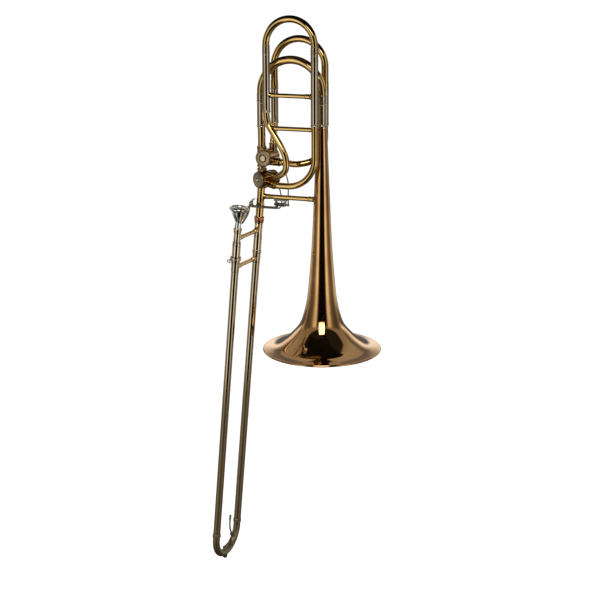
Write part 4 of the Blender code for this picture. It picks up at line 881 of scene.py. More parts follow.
for side, x in (("left", SECOND_LEFT), ("right", SECOND_RIGHT)):
    sleeve(f"second_sleeve_{side}", x, LOOP_OFFSET, SECOND_SLEEVE_TOP, SECOND_SLEEVE_BOTTOM,
           LOOP_LEG)
    slide_leg(f"second_slide_leg_{side}", "second_tuning_slide", x, LOOP_OFFSET, SECOND_BOW_END,
              SECOND_SLEEVE_TOP, SECOND_SLEEVE_BOTTOM + 12, LOOP_LEG, LOOP_TUBE, "yellow_brass")
slide_bow("second_slide_bow", "second_tuning_slide", SECOND_LEFT, SECOND_SPREAD, LOOP_OFFSET,
          SECOND_SPRING, SECOND_BOW_END, LOOP_TUBE)
print("tuning slides made,", made_faces, "faces so far")

# %% [markdown]
# ## Valves
#
# Two rotary valves sit in line with the neck. A rotor with two passages turns inside each drum and
# leads the air either straight on or round its loop. The drum is turned, and the short stubs that
# take the tubes are brazed to it, so the stubs are joined to the drum first and everything is then
# bored. The cap in front screws on, and the bearing plate behind lets the spindle through.

# %% Where the valves stand
SLIDE_LEAN = math.radians(5.1)
SLIDE_TURN = math.radians(83.25)
NECK_LENGTH, NECK_TUBE = 88.5, 15.8
VALVE_HEIGHTS = (347.5, 391)
SLIDE_DOWN = Vector((-math.sin(SLIDE_LEAN), 0, -math.cos(SLIDE_LEAN)))
ACROSS = Vector((math.cos(SLIDE_TURN), math.sin(SLIDE_TURN), 0))
ACROSS = (ACROSS - SLIDE_DOWN * ACROSS.dot(SLIDE_DOWN)).normalized()
SLIDE_NORMAL = ACROSS.cross(SLIDE_DOWN).normalized()
NECK_BEND = mm(-MAIN_SPREAD, 0, VALVE_HEIGHTS[0])
NECK_FOOT = NECK_BEND + SLIDE_DOWN * NECK_LENGTH * MM
CASING_RADIUS, CASING_HALF = 17, 18
ROTOR_RADIUS = 14.5
STUB_ROOT, STUB_REACH, LOOP_STUB_ROOT, LOOP_STUB_REACH = 3, 20, 6, 27
STUB_STOP, LOOP_STUB_STOP, STUB_WALL = 16.4, 21, 1.1
CAP_RADIUS, CAP_HEIGHT, PLATE_HEIGHT = 16.5, 4, 3.4
SPINDLE_RADIUS, ARM_THICKNESS = 3.2, 2.4
NECK_BORE, LOOP_BORE = NECK_TUBE / 2 + GAP, LOOP_LEG / 2 + GAP


class Valve:
    """The place of a valve: its centre, the way its cap faces and the way its ports face."""

    def __init__(self, neck, down, aside, turn):
        self.neck = neck
        self.down = down
        self.cap = Vector((-math.sin(turn), -math.cos(turn), 0))
        self.ports = Vector((math.cos(turn), -math.sin(turn), 0))
        self.centre = neck + self.ports * aside * MM

    def port(self, spot, reach):
        """A point on a stub: (across, back, up, angle upwards) from the centre, and how far out."""
        across, back, high, rise = spot
        way = self.ports * math.cos(rise) + UP * math.sin(rise)
        return self.centre + (self.ports * across - self.cap * back + UP * high + way * reach) * MM


VALVE_1 = Valve(NECK_BEND, SLIDE_DOWN, 13.5, math.radians(32))
VALVE_2 = Valve(mm(-MAIN_SPREAD, 0, VALVE_HEIGHTS[1]), -UP, 13, math.radians(7))
FIRST_PORTS = ((0, 0, 8.6, 0), (0, 0, -8.6, 0))
SECOND_PORTS = ((8, 9, 0, math.radians(90)), (0, 0, -8.8, 0))
# The first valve's tones are lighter than the second's: a painted highlight that makes up for the
# darker reflection its cap gets at its angle.
LOOKS["brushed_nickel-1"] = brushed("turned_nickel_silver_1", VALVE_1.centre, VALVE_1.cap,
                                    "FFF6E4", "E4D6B8", 3, 4.2)
LOOKS["brushed_nickel-2"] = brushed("turned_nickel_silver_2", VALVE_2.centre, VALVE_2.cap,
                                    "F4E8CE", "CDBD9C", 6.2, 8.1)
print("valves at", [[round(c, 4) for c in v.centre] for v in (VALVE_1, VALVE_2)])


# %% Casings
def collar_at(name, tip, way, bore):
    """The bead round the mouth of a stub."""
    outer = bore + STUB_WALL
    return turned(name, [(outer + 0.5, 0), (outer + 0.8, -0.5), (outer + 0.8, -2.2),
                         (outer - 0.2, -2.8), (bore + 0.3, -2.8), (bore + 0.3, 0)], tip, way,
                  edge=0)


def casing(number, valve, spots):
    """The drum with its stubs, bored through."""
    body = turned(f"valve_drum_{number}", [(CASING_RADIUS, CASING_HALF),
                                           (CASING_RADIUS, -CASING_HALF)],
                  valve.centre, valve.cap, DRUM_SIDES, hollow=False, edge=0)
    ways = [(valve.neck + way * STUB_ROOT * MM, valve.neck + way * STUB_REACH * MM, NECK_BORE)
            for way in (valve.down, UP)]
    ways += [(valve.port(spot, LOOP_STUB_ROOT), valve.port(spot, LOOP_STUB_REACH), LOOP_BORE)
             for spot in spots]
    for count, (root, tip, bore) in enumerate(ways):
        combine(body, rod(f"stub_{count}", root, tip, 2 * (bore + STUB_WALL)))
    for count, (root, tip, bore) in enumerate(ways):
        way = (tip - root).normalized()
        combine(body, rod(f"bore_{count}", root + way * STUB_WALL * MM, tip + way * 2 * MM,
                          2 * bore), "DIFFERENCE")
    reach = valve.cap * 2 * CASING_HALF * MM
    combine(body, rod("rotor_bore", valve.centre - reach, valve.centre + reach,
                      2 * (ROTOR_RADIUS + GAP), DRUM_SIDES), "DIFFERENCE")
    collars = [collar_at(f"stub_bead_{count}", tip, tip - root, bore)
               for count, (root, tip, bore) in enumerate(ways)]
    whole = gather(f"bored_valve_casing_{number}", [body, *collars])
    return dress(whole, "casing_brass", "bell_section", f"valve_casing_{number}")


for number, valve, spots in ((1, VALVE_1, FIRST_PORTS), (2, VALVE_2, SECOND_PORTS)):
    drum = casing(number, valve, spots)
    print("casing", number, "with", len(drum.data.polygons), "faces")


# %% [markdown]
# The caps are what the eye finds first: a turned disc with a chamfered and knurled rim. The second
# valve's cap has a broad bright boss, the first one's is small. The bearing plate behind
# shows the end of the spindle with its screw, and the stop arm that the lever's rod pulls round.

# %% Caps, plates, spindles and stop arms
KNURLS = 60
KNURL_DEPTH = 0.22
EYE_TURN, HEEL_TURN = math.radians(-45), math.radians(-135)     # of a stop arm, at rest
ROD_ARM = 26
LEVER_SWING = math.radians(26)
ROTOR_ARM = 2 * ROD_ARM * math.sin(LEVER_SWING / 2) / math.sqrt(2)
PLUG_RADIUS = ROTOR_RADIUS
SPINDLE_HOLE = SPINDLE_RADIUS + GAP


def knurl(angle):
    """The depth of a knurled rim: every other edge line of the rim is pressed in."""
    return KNURL_DEPTH * (round(angle / math.tau * 2 * KNURLS) % 2)


def cap_profile(boss, crown):
    """Outer line of a cap from the top of its boss out to the rim and in under it."""
    top = CAP_HEIGHT
    return [(boss * 0.4, top + crown), (boss * 0.8, top + crown - 0.15),
            (boss - 0.2, top + crown - 0.5), (boss, top + 0.2), (boss + 0.2, top - 0.9),
            (boss + 1.4, top - 0.9), (boss + 1.9, top), (CAP_RADIUS - 2, top),
            (CAP_RADIUS - 0.7, top - 0.7), (CAP_RADIUS, top - 1.4), (CAP_RADIUS, 0.5),
            (CAP_RADIUS - 0.4, 0), (PLUG_RADIUS, 0), (PLUG_RADIUS, -1.6)]


def screw_head(name, spot, way, radius, tall, slot=0.5):
    """A cheese-head screw with its slot cut."""
    head = turned(name, [(radius - 0.25, tall), (radius, tall - 0.3), (radius, 0)], spot, way, 24,
                  hollow=False, edge=0)
    bpy.ops.mesh.primitive_cube_add(size=1)
    cutter = bpy.context.object
    cutter.matrix_world = (Matrix.Translation(spot + way * tall * MM) @ facing(way)
                           @ Matrix.Diagonal((3 * radius * MM, slot * MM, tall * MM, 1)))
    return combine(head, cutter, "DIFFERENCE", "EXACT")


for number, valve, boss, crown in ((1, VALVE_1, 3, 1.4), (2, VALVE_2, 6.2, 1.4)):
    seat = valve.centre + valve.cap * (CASING_HALF + FACE_GAP) * MM
    cap = turned(f"turned_valve_cap_{number}", cap_profile(boss, crown), seat, valve.cap,
                 2 * KNURLS, hollow=False, edge=0)
    press_in(cap, seat, valve.cap, (0.4, CAP_HEIGHT - 1.3), CAP_RADIUS, knurl)
    dress(cap, f"brushed_nickel-{number}", "bell_section", f"valve_cap_{number}")

    seat = valve.centre - valve.cap * (CASING_HALF + FACE_GAP) * MM
    plate = turned(f"turned_valve_plate_{number}",
                   [(CAP_RADIUS - 1.4, PLATE_HEIGHT), (CAP_RADIUS - 0.5, PLATE_HEIGHT - 0.4),
                    (CAP_RADIUS, PLATE_HEIGHT - 1.1), (CAP_RADIUS, 0.4), (CAP_RADIUS - 0.4, 0),
                    (PLUG_RADIUS, 0), (PLUG_RADIUS, -1.6), (SPINDLE_HOLE, -1.6),
                    (SPINDLE_HOLE, PLATE_HEIGHT), (SPINDLE_HOLE + 2.2, PLATE_HEIGHT),
                    (SPINDLE_HOLE + 2.5, PLATE_HEIGHT - 0.35),
                    (CAP_RADIUS - 4, PLATE_HEIGHT - 0.35), (CAP_RADIUS - 3.6, PLATE_HEIGHT)],
                   seat, -valve.cap, 2 * KNURLS, edge=0)
    press_in(plate, seat, -valve.cap, (0.3, PLATE_HEIGHT - 1), CAP_RADIUS, knurl)
    dress(plate, f"brushed_nickel-{number}", "bell_section", f"valve_plate_{number}")

    spindle_tip = valve.centre - valve.cap * (CASING_HALF + FACE_GAP + PLATE_HEIGHT
                                              + ARM_THICKNESS + 1.6 - 0.1) * MM
    end_screw = screw_head(f"spindle_screw_{number}", spindle_tip, -valve.cap, 2.6, 1.1)
    dress(end_screw, "dark_nickel", f"rotor_{number}_set")

    hub_place = valve.centre - valve.cap * (CASING_HALF + 2 * FACE_GAP + PLATE_HEIGHT) * MM
    middle = hub_place - valve.cap * ARM_THICKNESS / 2 * MM
    hub_radius = SPINDLE_RADIUS + 2.6
    eye = middle + (valve.ports * math.cos(EYE_TURN) + UP * math.sin(EYE_TURN)) * ROTOR_ARM * MM
    heel = middle + (valve.ports * math.cos(HEEL_TURN) + UP * math.sin(HEEL_TURN)) * (
        hub_radius + 1) * MM
    arm = turned(f"stop_arm_hub_{number}", [(hub_radius, ARM_THICKNESS / 2),
                                            (hub_radius, -ARM_THICKNESS / 2)],
                 middle, -valve.cap, 40, hollow=False, edge=0)
    half_cap = valve.cap * ARM_THICKNESS / 2 * MM
    combine(arm, rod("eye", eye + half_cap, eye - half_cap, 7))
    combine(arm, rod("heel", heel + half_cap * 0.9, heel - half_cap * 0.9, 4.6))
    combine(arm, rod("spindle_hole", middle + 3 * half_cap, middle - 3 * half_cap,
                     2 * SPINDLE_HOLE), "DIFFERENCE")
    apply_change(arm, "BEVEL", width=0.3 * MM, segments=2, limit_method="ANGLE",
                 angle_limit=SMOOTH_ANGLE)
    dress(arm, "dark_nickel", f"rotor_{number}_set", f"stop_arm_{number}")
    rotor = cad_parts[f"rotor_{number}"]
    rotor.data.materials.clear()
    rotor.data.materials.append(LOOKS["dark_nickel"])
print("valves closed")

# %% [markdown]
# ## Neck and loop pipes
#
# The neck runs from the hand slide's joint straight up through both valves, in three short tubes.
# The loops' pipes are bent: one is S-shaped and dips forward round the valve, two end in wide
# quarter bends. Each goes straight into its stub, as a solderer wants it.

# %% The neck's tubes
radius = NECK_TUBE / 2
inner = radius - TUBE_WALL
top, band, foot = NECK_LENGTH - STUB_STOP, NECK_LENGTH - 56, 2.9 - 1.2
gooseneck = turned("turned_gooseneck_tube",
                   [(radius, top), (radius, band + 2.4), (radius + 0.6, band + 2),
                    (radius + 0.8, band + 1.2), (radius + 0.8, band - 1.2),
                    (radius + 0.6, band - 2), (radius, band - 2.4), (radius, -foot),
                    (inner, -foot), (inner, top)], NECK_FOOT, -SLIDE_DOWN, edge=0)
dress(gooseneck, "yellow_brass", "bell_section", "gooseneck_tube")
low = VALVE_1.neck + UP * STUB_STOP * MM
tall = VALVE_HEIGHTS[1] - STUB_STOP - low.z / MM
joint = turned("turned_valve_joint_tube", [(radius, tall), (radius, 0), (inner, 0), (inner, tall)],
               low, edge=0)
dress(joint, "nickel_silver", "bell_section", "valve_joint_tube")
low = VALVE_2.neck + UP * STUB_STOP * MM
leg = MAIN_LEG / 2
step = VALVE_HEIGHTS[1] + STUB_REACH + 3 - low.z / MM
top = NECK_SLEEVE_BOTTOM + 7 - low.z / MM
neckpipe = turned("turned_neckpipe",
                  [(leg, top), (leg, step + 2), (radius, step), (radius, 0),
                   (leg - TUBE_WALL, 0), (leg - TUBE_WALL, top)], low, edge=0)
dress(neckpipe, "yellow_brass", "bell_section", "neckpipe")

# %% The loops' pipes
KNUCKLE_BENDS = ((-100, -27, 456), (-88.5, -30, 440), (-72.5, -32.5, 416), (-63.5, -33, 393),
                 (-65.5, -31, 371))
SECOND_RETURN_BENDS = ((-3, 28, 425), (-11.5, 28, 400), (-31, 25.5, 382), (-57, 14, 376.5))
FIRST_RETURN_RADIUS = 56


def leave_sleeve(x, y, bottom):
    """A pipe's first points: straight down out of a sleeve."""
    return [mm(x, y, bottom + drop) for drop in (8, 0, -8)]


def enter_stub(valve, spot):
    """A pipe's last points: straight into a stub."""
    return [valve.port(spot, reach) for reach in (LOOP_STUB_REACH + 7, LOOP_STUB_REACH,
                                                  LOOP_STUB_STOP)]


knuckle_route = smooth_route([*leave_sleeve(FIRST_LEFT, -LOOP_OFFSET, FIRST_LEFT_BOTTOM),
                              *(mm(*spot) for spot in KNUCKLE_BENDS),
                              *enter_stub(VALVE_1, FIRST_PORTS[0])])
entry = enter_stub(VALVE_1, FIRST_PORTS[1])
level = entry[0].z / MM
bend = mm(FIRST_RIGHT - FIRST_RETURN_RADIUS, -LOOP_OFFSET, level + FIRST_RETURN_RADIUS)
quarter = arc(bend, Vector((1, 0, 0)), UP, FIRST_RETURN_RADIUS * MM, 0, -math.pi / 2, 24)
middle = (quarter[-1] + entry[0]) / 2
middle.z = entry[0].z
run = smooth_route([quarter[-5], quarter[-1], middle, *entry])
first_return_route = [mm(FIRST_RIGHT, -LOOP_OFFSET, FIRST_RIGHT_BOTTOM + 8), *quarter[:-1],
                      *run[PIPE_STEPS:]]
second_down_route = smooth_route([*leave_sleeve(SECOND_LEFT, LOOP_OFFSET, SECOND_SLEEVE_BOTTOM),
                                  *enter_stub(VALVE_2, SECOND_PORTS[0])])
second_return_route = smooth_route(
    [*leave_sleeve(SECOND_RIGHT, LOOP_OFFSET, SECOND_SLEEVE_BOTTOM),
     *(mm(*spot) for spot in SECOND_RETURN_BENDS), *enter_stub(VALVE_2, SECOND_PORTS[1])])
for node, route in (("first_knuckle_pipe", knuckle_route),
                    ("first_return_pipe", first_return_route),
                    ("second_down_pipe", second_down_route),
                    ("second_return_pipe", second_return_route)):
    dress(bent("bent_" + node, route, LOOP_LEG, TUBE_WALL), "yellow_brass", "bell_section", node)
print("neck and loop pipes made,", made_faces, "faces so far")

# %% [markdown]
# ## Braces
#
# Braces keep the thin tubes apart. Each is a turned bar that swells to a flange at both ends, and
# the flange is cut to sit round the tube that it is soldered to, so the cutter has that tube's
# radius. Two small rings near each flange are the maker's decoration.

# %% Braces with fitted ends
BRACE_FLANGE = 12.5


def brace(node, body, start, end, diameter, flange, seats, look, gusset=()):
    """A brace; each seat is (point, axis, radius) of the tube that an end meets.

    A gusset is the route of a second bar that leaves the first one and runs into the tube."""
    length = (end - start).length / MM
    thin, wide = diameter / 2, flange / 2
    half = [(wide - 0.3, 0), (wide, 0.4), (wide - 0.3, 2), (thin + 0.9, 2.8), (thin + 0.6, 4.5),
            (thin + 0.6, 11), (thin + 0.9, 11.4), (thin + 0.9, 12.4), (thin, 13)]
    foot, top = (seat_radius - 1 for point, axis, seat_radius in seats)
    profile = ([(radius, length - top - height) for radius, height in half]
               + [(radius, foot + height) for radius, height in reversed(half)])
    bar = turned("turned_" + node, profile, start, end - start, hollow=False, edge=0)
    if gusset:
        combine(bar, bent("gusset", smooth_route(gusset, 5), diameter - 0.6))
    for point, axis, seat_radius in seats:
        reach = axis.normalized() * 30 * MM
        combine(bar, rod("brace_seat", point - reach, point + reach, 2 * seat_radius + 0.1),
                "DIFFERENCE")
    return dress(bar, look, body, node)


def down_slide(distance, side=0.0):
    """A point on the hand slide, in millimetres down from the neck's foot and across."""
    return NECK_FOOT + (SLIDE_DOWN * distance - ACROSS * side) * MM


SLEEVE_RADIUS = LOOP_LEG / 2 + GAP + SLEEVE_WALL
UPPER_BRACE_Z, LOWER_BRACE_Z, BELL_BRACE_Z, STRUT_Z = 517, 452.8, 310.4, 486
LOOP_BRACE, BELL_BRACE, SLIDE_BRACE, STRUT = 8.8, 9.6, 8.2, 5
start, end = mm(FIRST_LEFT, -LOOP_OFFSET, UPPER_BRACE_Z), mm(FIRST_RIGHT, -LOOP_OFFSET,
                                                            UPPER_BRACE_Z)
brace("brace_upper", "bell_section", start, end, LOOP_BRACE, BRACE_FLANGE,
      [(start, UP, SLEEVE_RADIUS), (end, UP, SLEEVE_RADIUS)], "yellow_brass")

start = mm(KNUCKLE_BENDS[0][0] + 4, KNUCKLE_BENDS[0][1], LOWER_BRACE_Z)
end = mm(FIRST_RIGHT, -LOOP_OFFSET, LOWER_BRACE_Z)
length = (end - start).length / MM
thin = LOOP_BRACE / 2
lower_brace = turned("turned_brace_lower",
                     [(thin + 1.2, length), (thin + 1.2, length - 3), (thin, length - 6),
                      (thin, length - 10), (thin + 0.45, length - 10.4),
                      (thin + 0.45, length - 11.4), (thin, length - 11.8), (thin, 8),
                      (thin + 1.2, 3.2), (thin + 1.2, 0)], start, end - start, hollow=False, edge=0)
reach = UP * 30 * MM
combine(lower_brace, rod("brace_seat", end - reach, end + reach, LOOP_LEG + 0.1), "DIFFERENCE")
combine(lower_brace, bent("pipe_seat", knuckle_route, LOOP_LEG + 0.1), "DIFFERENCE")
dress(lower_brace, "yellow_brass", "bell_section", "brace_lower")

neck_point = down_slide(-(BELL_BRACE_Z - NECK_FOOT.z / MM) / math.cos(SLIDE_LEAN))
bell_point = mm(0, 0, BELL_BRACE_Z)
bell_radius = next(low_radius + (high_radius - low_radius) * (BELL_BRACE_Z - low) / (high - low)
                   for (low, low_radius), (high, high_radius)
                   in zip(BELL_STATIONS, BELL_STATIONS[1:]) if low <= BELL_BRACE_Z <= high)
brace("bell_brace", "bell_section", neck_point, bell_point, BELL_BRACE, BRACE_FLANGE,
      [(neck_point, SLIDE_DOWN, NECK_TUBE / 2), (bell_point, UP, bell_radius)], "yellow_brass")

start, end = mm(0, 0, STRUT_Z), mm(SECOND_RIGHT, LOOP_OFFSET, STRUT_Z)
length = (end - start).length / MM
strut = turned("turned_second_loop_strut",
               [(4, length), (4, length - 2), (STRUT / 2, length - 4), (STRUT / 2, 11), (4, 9.6),
                (4, 0)], start, end - start, hollow=False, edge=0)
combine(strut, rod("tail_seat", start - reach, start + reach,
                   2 * (MAIN_LEG / 2 + GAP + SLEEVE_WALL) + 0.1), "DIFFERENCE")
combine(strut, rod("sleeve_seat", end - reach, end + reach, 2 * SLEEVE_RADIUS + 0.1), "DIFFERENCE")
dress(strut, "nickel_silver", "bell_section", "second_loop_strut")
print("braces made")

# %% [markdown]
# ## Thumb levers
#
# The left thumb works both valves. The levers share one axle under the bell brace: each is a hub
# with an arm back to its rod and an arm forward round the neck to a curved blade. On the real
# thing they are cast in one, so arms and blade are joined to the hub and the edges are softened.
# A blade is a strip that is extruded row by row and then thickened, with its edges bevelled.

# %% Saddle, axle and levers
AXLE_X, AXLE_Z, AXLE_RADIUS, AXLE_LENGTH = -87, 295.5, 1.8, 26
HUB_RADIUS, HUB_LENGTH, ARM_WIRE, LEVER_DROP = 3.5, 7.4, 3.2, 3
ROD_REST_ANGLE = -LEVER_SWING / 2
FIRST_HUB_X = AXLE_X - HUB_LENGTH / 2 - FACE_GAP
SECOND_HUB_X = AXLE_X + HUB_LENGTH / 2 + FACE_GAP
FIRST_BLADE = ((-145.5, -11, 296), (-147, -8, 300.5), (-141, -7, 305.5))
SECOND_BLADE = ((-143.8, -26, 297), (-146.5, -27, 285), (-150.2, -27.5, 273.6), (-160, -27, 257.4))
BLADE_THICKNESS = 2.2
ACROSS_X = Vector((1, 0, 0))


def block(name, sides, centre, turn=Matrix.Identity(4), edge=0.4):
    """A block with rounded edges; its sides are in millimetres, its centre in metres."""
    start_clean()
    bpy.ops.mesh.primitive_cube_add(size=1)
    piece = bpy.context.object
    piece.name = name
    piece.matrix_world = (Matrix.Translation(centre) @ turn
                          @ Matrix.Diagonal((*(side * MM for side in sides), 1)))
    bpy.ops.object.transform_apply(location=True, rotation=True, scale=True)
    return apply_change(piece, "BEVEL", width=edge * MM, segments=3)


def lever_point(reach, angle, x):
    """A point round the axle: the angle is measured from straight back, upwards."""
    return mm(x, reach * math.cos(angle), AXLE_Z + reach * math.sin(angle))


plate_top = BELL_BRACE_Z - BELL_BRACE / 2 - FACE_GAP
low = AXLE_Z - 2 * AXLE_RADIUS
saddle = block("filed_lever_saddle", (AXLE_LENGTH + 2, 7, 2.4), mm(AXLE_X, 0, plate_top - 1.2))
for side in (-1, 1):
    tall = plate_top - 1.2 - low
    combine(saddle, block("post", (3.4, 6.6, tall),
                          mm(AXLE_X + side * (AXLE_LENGTH / 2 - 3.4), 0, low + tall / 2)))
combine(saddle, rod("axle_hole", mm(AXLE_X - AXLE_LENGTH, 0, AXLE_Z),
                    mm(AXLE_X + AXLE_LENGTH, 0, AXLE_Z), 2 * (AXLE_RADIUS + GAP)), "DIFFERENCE")
dress(saddle, "dark_nickel", "bell_section", "lever_saddle")
axle = rod("turned_lever_axle", mm(AXLE_X - AXLE_LENGTH / 2, 0, AXLE_Z),
           mm(AXLE_X + AXLE_LENGTH / 2, 0, AXLE_Z), 2 * AXLE_RADIUS, edge=0.3)
dress(axle, "dark_nickel", "bell_section", "lever_axle")


def blade(name, points, width):
    """A curved blade through points: a strip across Y, widest past its middle, with soft edges."""
    route = smooth_route(points, 3)
    start_clean()
    bpy.ops.mesh.primitive_plane_add(size=2 * MM)
    piece = bpy.context.object
    piece.name = name
    bpy.ops.object.mode_set(mode="EDIT")
    bpy.ops.mesh.select_all(action="DESELECT")
    bpy.ops.object.mode_set(mode="OBJECT")
    for vertex in piece.data.vertices:
        vertex.select = vertex.co.x > 0
    bpy.ops.object.mode_set(mode="EDIT")
    bpy.ops.mesh.delete(type="VERT")
    bpy.ops.mesh.select_all(action="SELECT")
    bpy.ops.transform.translate(value=route[0] + Vector((MM, 0, 0)))
    reach = MM
    for count, spot in enumerate(route):
        share = count / (len(route) - 1)
        wide = width / 2 * MM * (0.3 + 0.7 * math.sin(math.pi * share * 0.85))
        if count:
            bpy.ops.mesh.extrude_region_move(
                TRANSFORM_OT_translate={"value": spot - route[count - 1]})
        bpy.ops.transform.resize(value=(1, wide / reach, 1), center_override=spot)
        reach = wide
    settle(piece, Vector(), UP)
    apply_change(piece, "SUBSURF", levels=1, render_levels=1, subdivision_type="SIMPLE")
    apply_change(piece, "SOLIDIFY", thickness=BLADE_THICKNESS * MM, offset=0)
    apply_change(piece, "BEVEL", width=0.6 * MM, segments=3, limit_method="ANGLE",
                 angle_limit=math.radians(60))
    start_clean()
    piece.select_set(True)
    bpy.context.view_layer.objects.active = piece
    bpy.ops.object.mode_set(mode="EDIT")
    bpy.ops.mesh.select_all(action="SELECT")
    bpy.ops.mesh.normals_make_consistent(inside=False)
    bpy.ops.object.mode_set(mode="OBJECT")
    return piece


def lever(number, hub_x, side, arm_reach, corner_x, spots, width):
    """A lever: hub, rear arm with the rod's pin, front arm round the neck, and blade."""
    half = HUB_LENGTH / 2
    hub = turned(f"cast_thumb_lever_{number}",
                 [(HUB_RADIUS, half), (HUB_RADIUS, -half), (AXLE_RADIUS + GAP, -half),
                  (AXLE_RADIUS + GAP, half)], mm(hub_x, 0, AXLE_Z), ACROSS_X)
    rear_end = lever_point(ROD_ARM, ROD_REST_ANGLE, hub_x)
    combine(hub, bent("rear_arm", [lever_point(3.2, ROD_REST_ANGLE, hub_x), rear_end], ARM_WIRE))
    outward = ACROSS_X * side
    combine(hub, rod("rod_pin", rear_end - outward * 1.2 * MM, rear_end + outward * 5 * MM, 2.6,
                     24))
    level = AXLE_Z - LEVER_DROP
    front, corner = mm(hub_x, -arm_reach, level), mm(corner_x, -arm_reach, level)
    route = [mm(hub_x, -3.2, AXLE_Z), front + mm(0, 5, 0), front + mm(-1.6, 1.6, 0),
             front - mm(5, 0, 0), corner]
    combine(hub, bent("front_arm", smooth_route(route, 5), ARM_WIRE))
    strip = blade("blade", [corner, *(mm(*spot) for spot in spots)], width)
    combine(hub, strip)
    dress(hub, "dark_nickel", f"lever_{number}", f"thumb_lever_{number}")
    return hub


lever(1, FIRST_HUB_X, -1, 15, -141, FIRST_BLADE, 20)
second_lever = lever(2, SECOND_HUB_X, 1, 24, -140, SECOND_BLADE, 15)
print("levers made; the second has", len(second_lever.data.polygons), "faces")

# %% [markdown]
# Each lever is returned by a torsion spring, a few turns of steel wire round its hub, with one end
# under the saddle's plate and the other on the rear arm. The solids leave the springs out, so they
# are drawn here, and ride with the bell section, where their coil sits.

# %% Lever springs
SPRING_WIRE, SPRING_RADIUS, SPRING_TURNS = 0.8, 4.1, 2.25
SPRING_PITCH = 0.85
SPRING_OFFSET = 3.4           # from the middle of the hub to the first turn

for number, hub_x, side in ((1, FIRST_HUB_X, 1), (2, SECOND_HUB_X, -1)):
    coil = helix(mm(hub_x - side * SPRING_OFFSET, 0, AXLE_Z), Vector((0, 1, 0)), UP,
                 SPRING_RADIUS * MM, mm(side * SPRING_PITCH * SPRING_TURNS, 0, 0),
                 math.radians(90), SPRING_TURNS, 54)
    lead = coil[0] + mm(0, -2.5, 3.2)
    tail_end = coil[-1] + mm(0, 0, -6)
    spring = bent(f"lever_spring_{number}", [lead, *coil, tail_end], SPRING_WIRE, bevel=3)
    dress(spring, "spring_steel", "bell_section")

# %% [markdown]
# ## Link rods
#
# A rod of stiff wire joins each lever's pin to the stop arm of its valve. The second one goes up
# past the first valve and bends over to the upper one. Each has an eye on the pin and a small
# barrel on the arm, held by a screw.

# %% Link rods
ROD_WIRE = 2.6


def arm_eye(valve):
    """The middle of a stop arm's eye."""
    out = CASING_HALF + FACE_GAP + PLATE_HEIGHT + FACE_GAP + ARM_THICKNESS / 2
    return valve.centre + (valve.ports * ROTOR_ARM * math.cos(EYE_TURN)
                           + UP * ROTOR_ARM * math.sin(EYE_TURN) - valve.cap * out) * MM


def link_rod(number, valve, hub_x, side, bends):
    """A link rod between the lever's pin and the stop arm."""
    outward = ACROSS_X * side
    foot = lever_point(ROD_ARM, ROD_REST_ANGLE, hub_x) + outward * (ARM_WIRE / 2 + FACE_GAP) * MM
    link = turned(f"bent_link_rod_{number}", [(3.1, 2.4), (3.1, 0), (1.3 + GAP, 0),
                                              (1.3 + GAP, 2.4)], foot, outward)
    near = arm_eye(valve) - valve.cap * (ARM_THICKNESS / 2 + 1) * MM
    tip = near - valve.cap * 1.5 * MM
    middle = foot + outward * 1.2 * MM + UP * 2.6 * MM
    combine(link, bent("stem", smooth_route([middle, *bends(middle, tip), tip], 6), ROD_WIRE))
    combine(link, rod("barrel", near, near - valve.cap * 3 * MM, 6))
    screw = screw_head(f"rod_screw_{number}", near - valve.cap * 2.9 * MM, -valve.cap, 2.2, 1.0)
    whole = gather(f"bent_link_rod_{number}", [link, screw])
    dress(whole, "dark_nickel", f"rod_{number}", f"link_rod_{number}")


link_rod(1, VALVE_1, FIRST_HUB_X, -1, lambda low, high: [low + mm(0, 0, 12), high - mm(0, 0, 9)])
link_rod(2, VALVE_2, SECOND_HUB_X, 1,
         lambda low, high: [low + mm(0, 0, 20), low + mm(0, 0, 44), low + mm(-6, 2, 62),
                            high + mm(8, 2, -6)])
print("rods made,", made_faces, "faces so far")

# %% [markdown]
# ## The slide joint
#
# The neck's foot carries a loose nut in rosy brass. It screws onto the top of the hand slide, a
# short tapered tenon in nickel silver, and is rolled with a grip of shallow flutes. The other leg
# of the hand slide ends in the mouthpiece receiver.

# %% Nut, tenon and receiver
SPREAD = 91.1
FLUTES = 30
FLUTE_DEPTH = 0.3


def flute(angle):
    """The depth of a grip's shallow flutes."""
    return FLUTE_DEPTH * (0.5 - 0.5 * math.cos(FLUTES * angle))


up_slide = -SLIDE_DOWN
nut = turned("turned_lock_nut",
             [(9.4, 9.4), (9.9, 9.1), (10.3, 8.5), (10.3, 7.9), (9.95, 7.5), (9.95, 3.3),
              (10.3, 2.9), (10.3, 2.4), (9.9, 0.6), (9.3, -1.4), (9.2, -2.9), (8.4, -2.9),
              (8.4, 9.4)], NECK_FOOT, up_slide, 4 * FLUTES, edge=0)
press_in(nut, NECK_FOOT, up_slide, (3, 7.8), 9.95, flute)
dress(nut, "red_brass", "slide_nut", "lock_nut")
tenon = turned("turned_slide_tenon",
               [(6.85, 24), (6.85, -3.2), (9.1, -3.2), (9.1, -5.6), (8.1, -6.6), (8.1, -12),
                (8.35, -12.4), (8.35, -13.2), (8.1, -13.6), (8.1, -28.2), (6.1, -28.2), (6.1, 24)],
               NECK_FOOT, up_slide)
dress(tenon, "nickel_silver", "inner_slide", "slide_tenon")
receiver = turned("turned_mouthpiece_receiver",
                  [(8.4, 2), (8.7, 1.7), (8.7, -1.6), (8.4, -2.1), (7.6, -2.6), (7.6, -4.6),
                   (7.9, -5), (7.9, -6.2), (7.6, -6.6), (7.1, -7.4), (7, -24.5), (8.1, -26),
                   (8.1, -28.2), (6.25, -28.2), (6.5, -6), (7.1, 2)],
                  down_slide(0, SPREAD), up_slide)
dress(receiver, "nickel_silver", "inner_slide", "mouthpiece_receiver")
print("slide joint made with", FLUTES, "flutes")

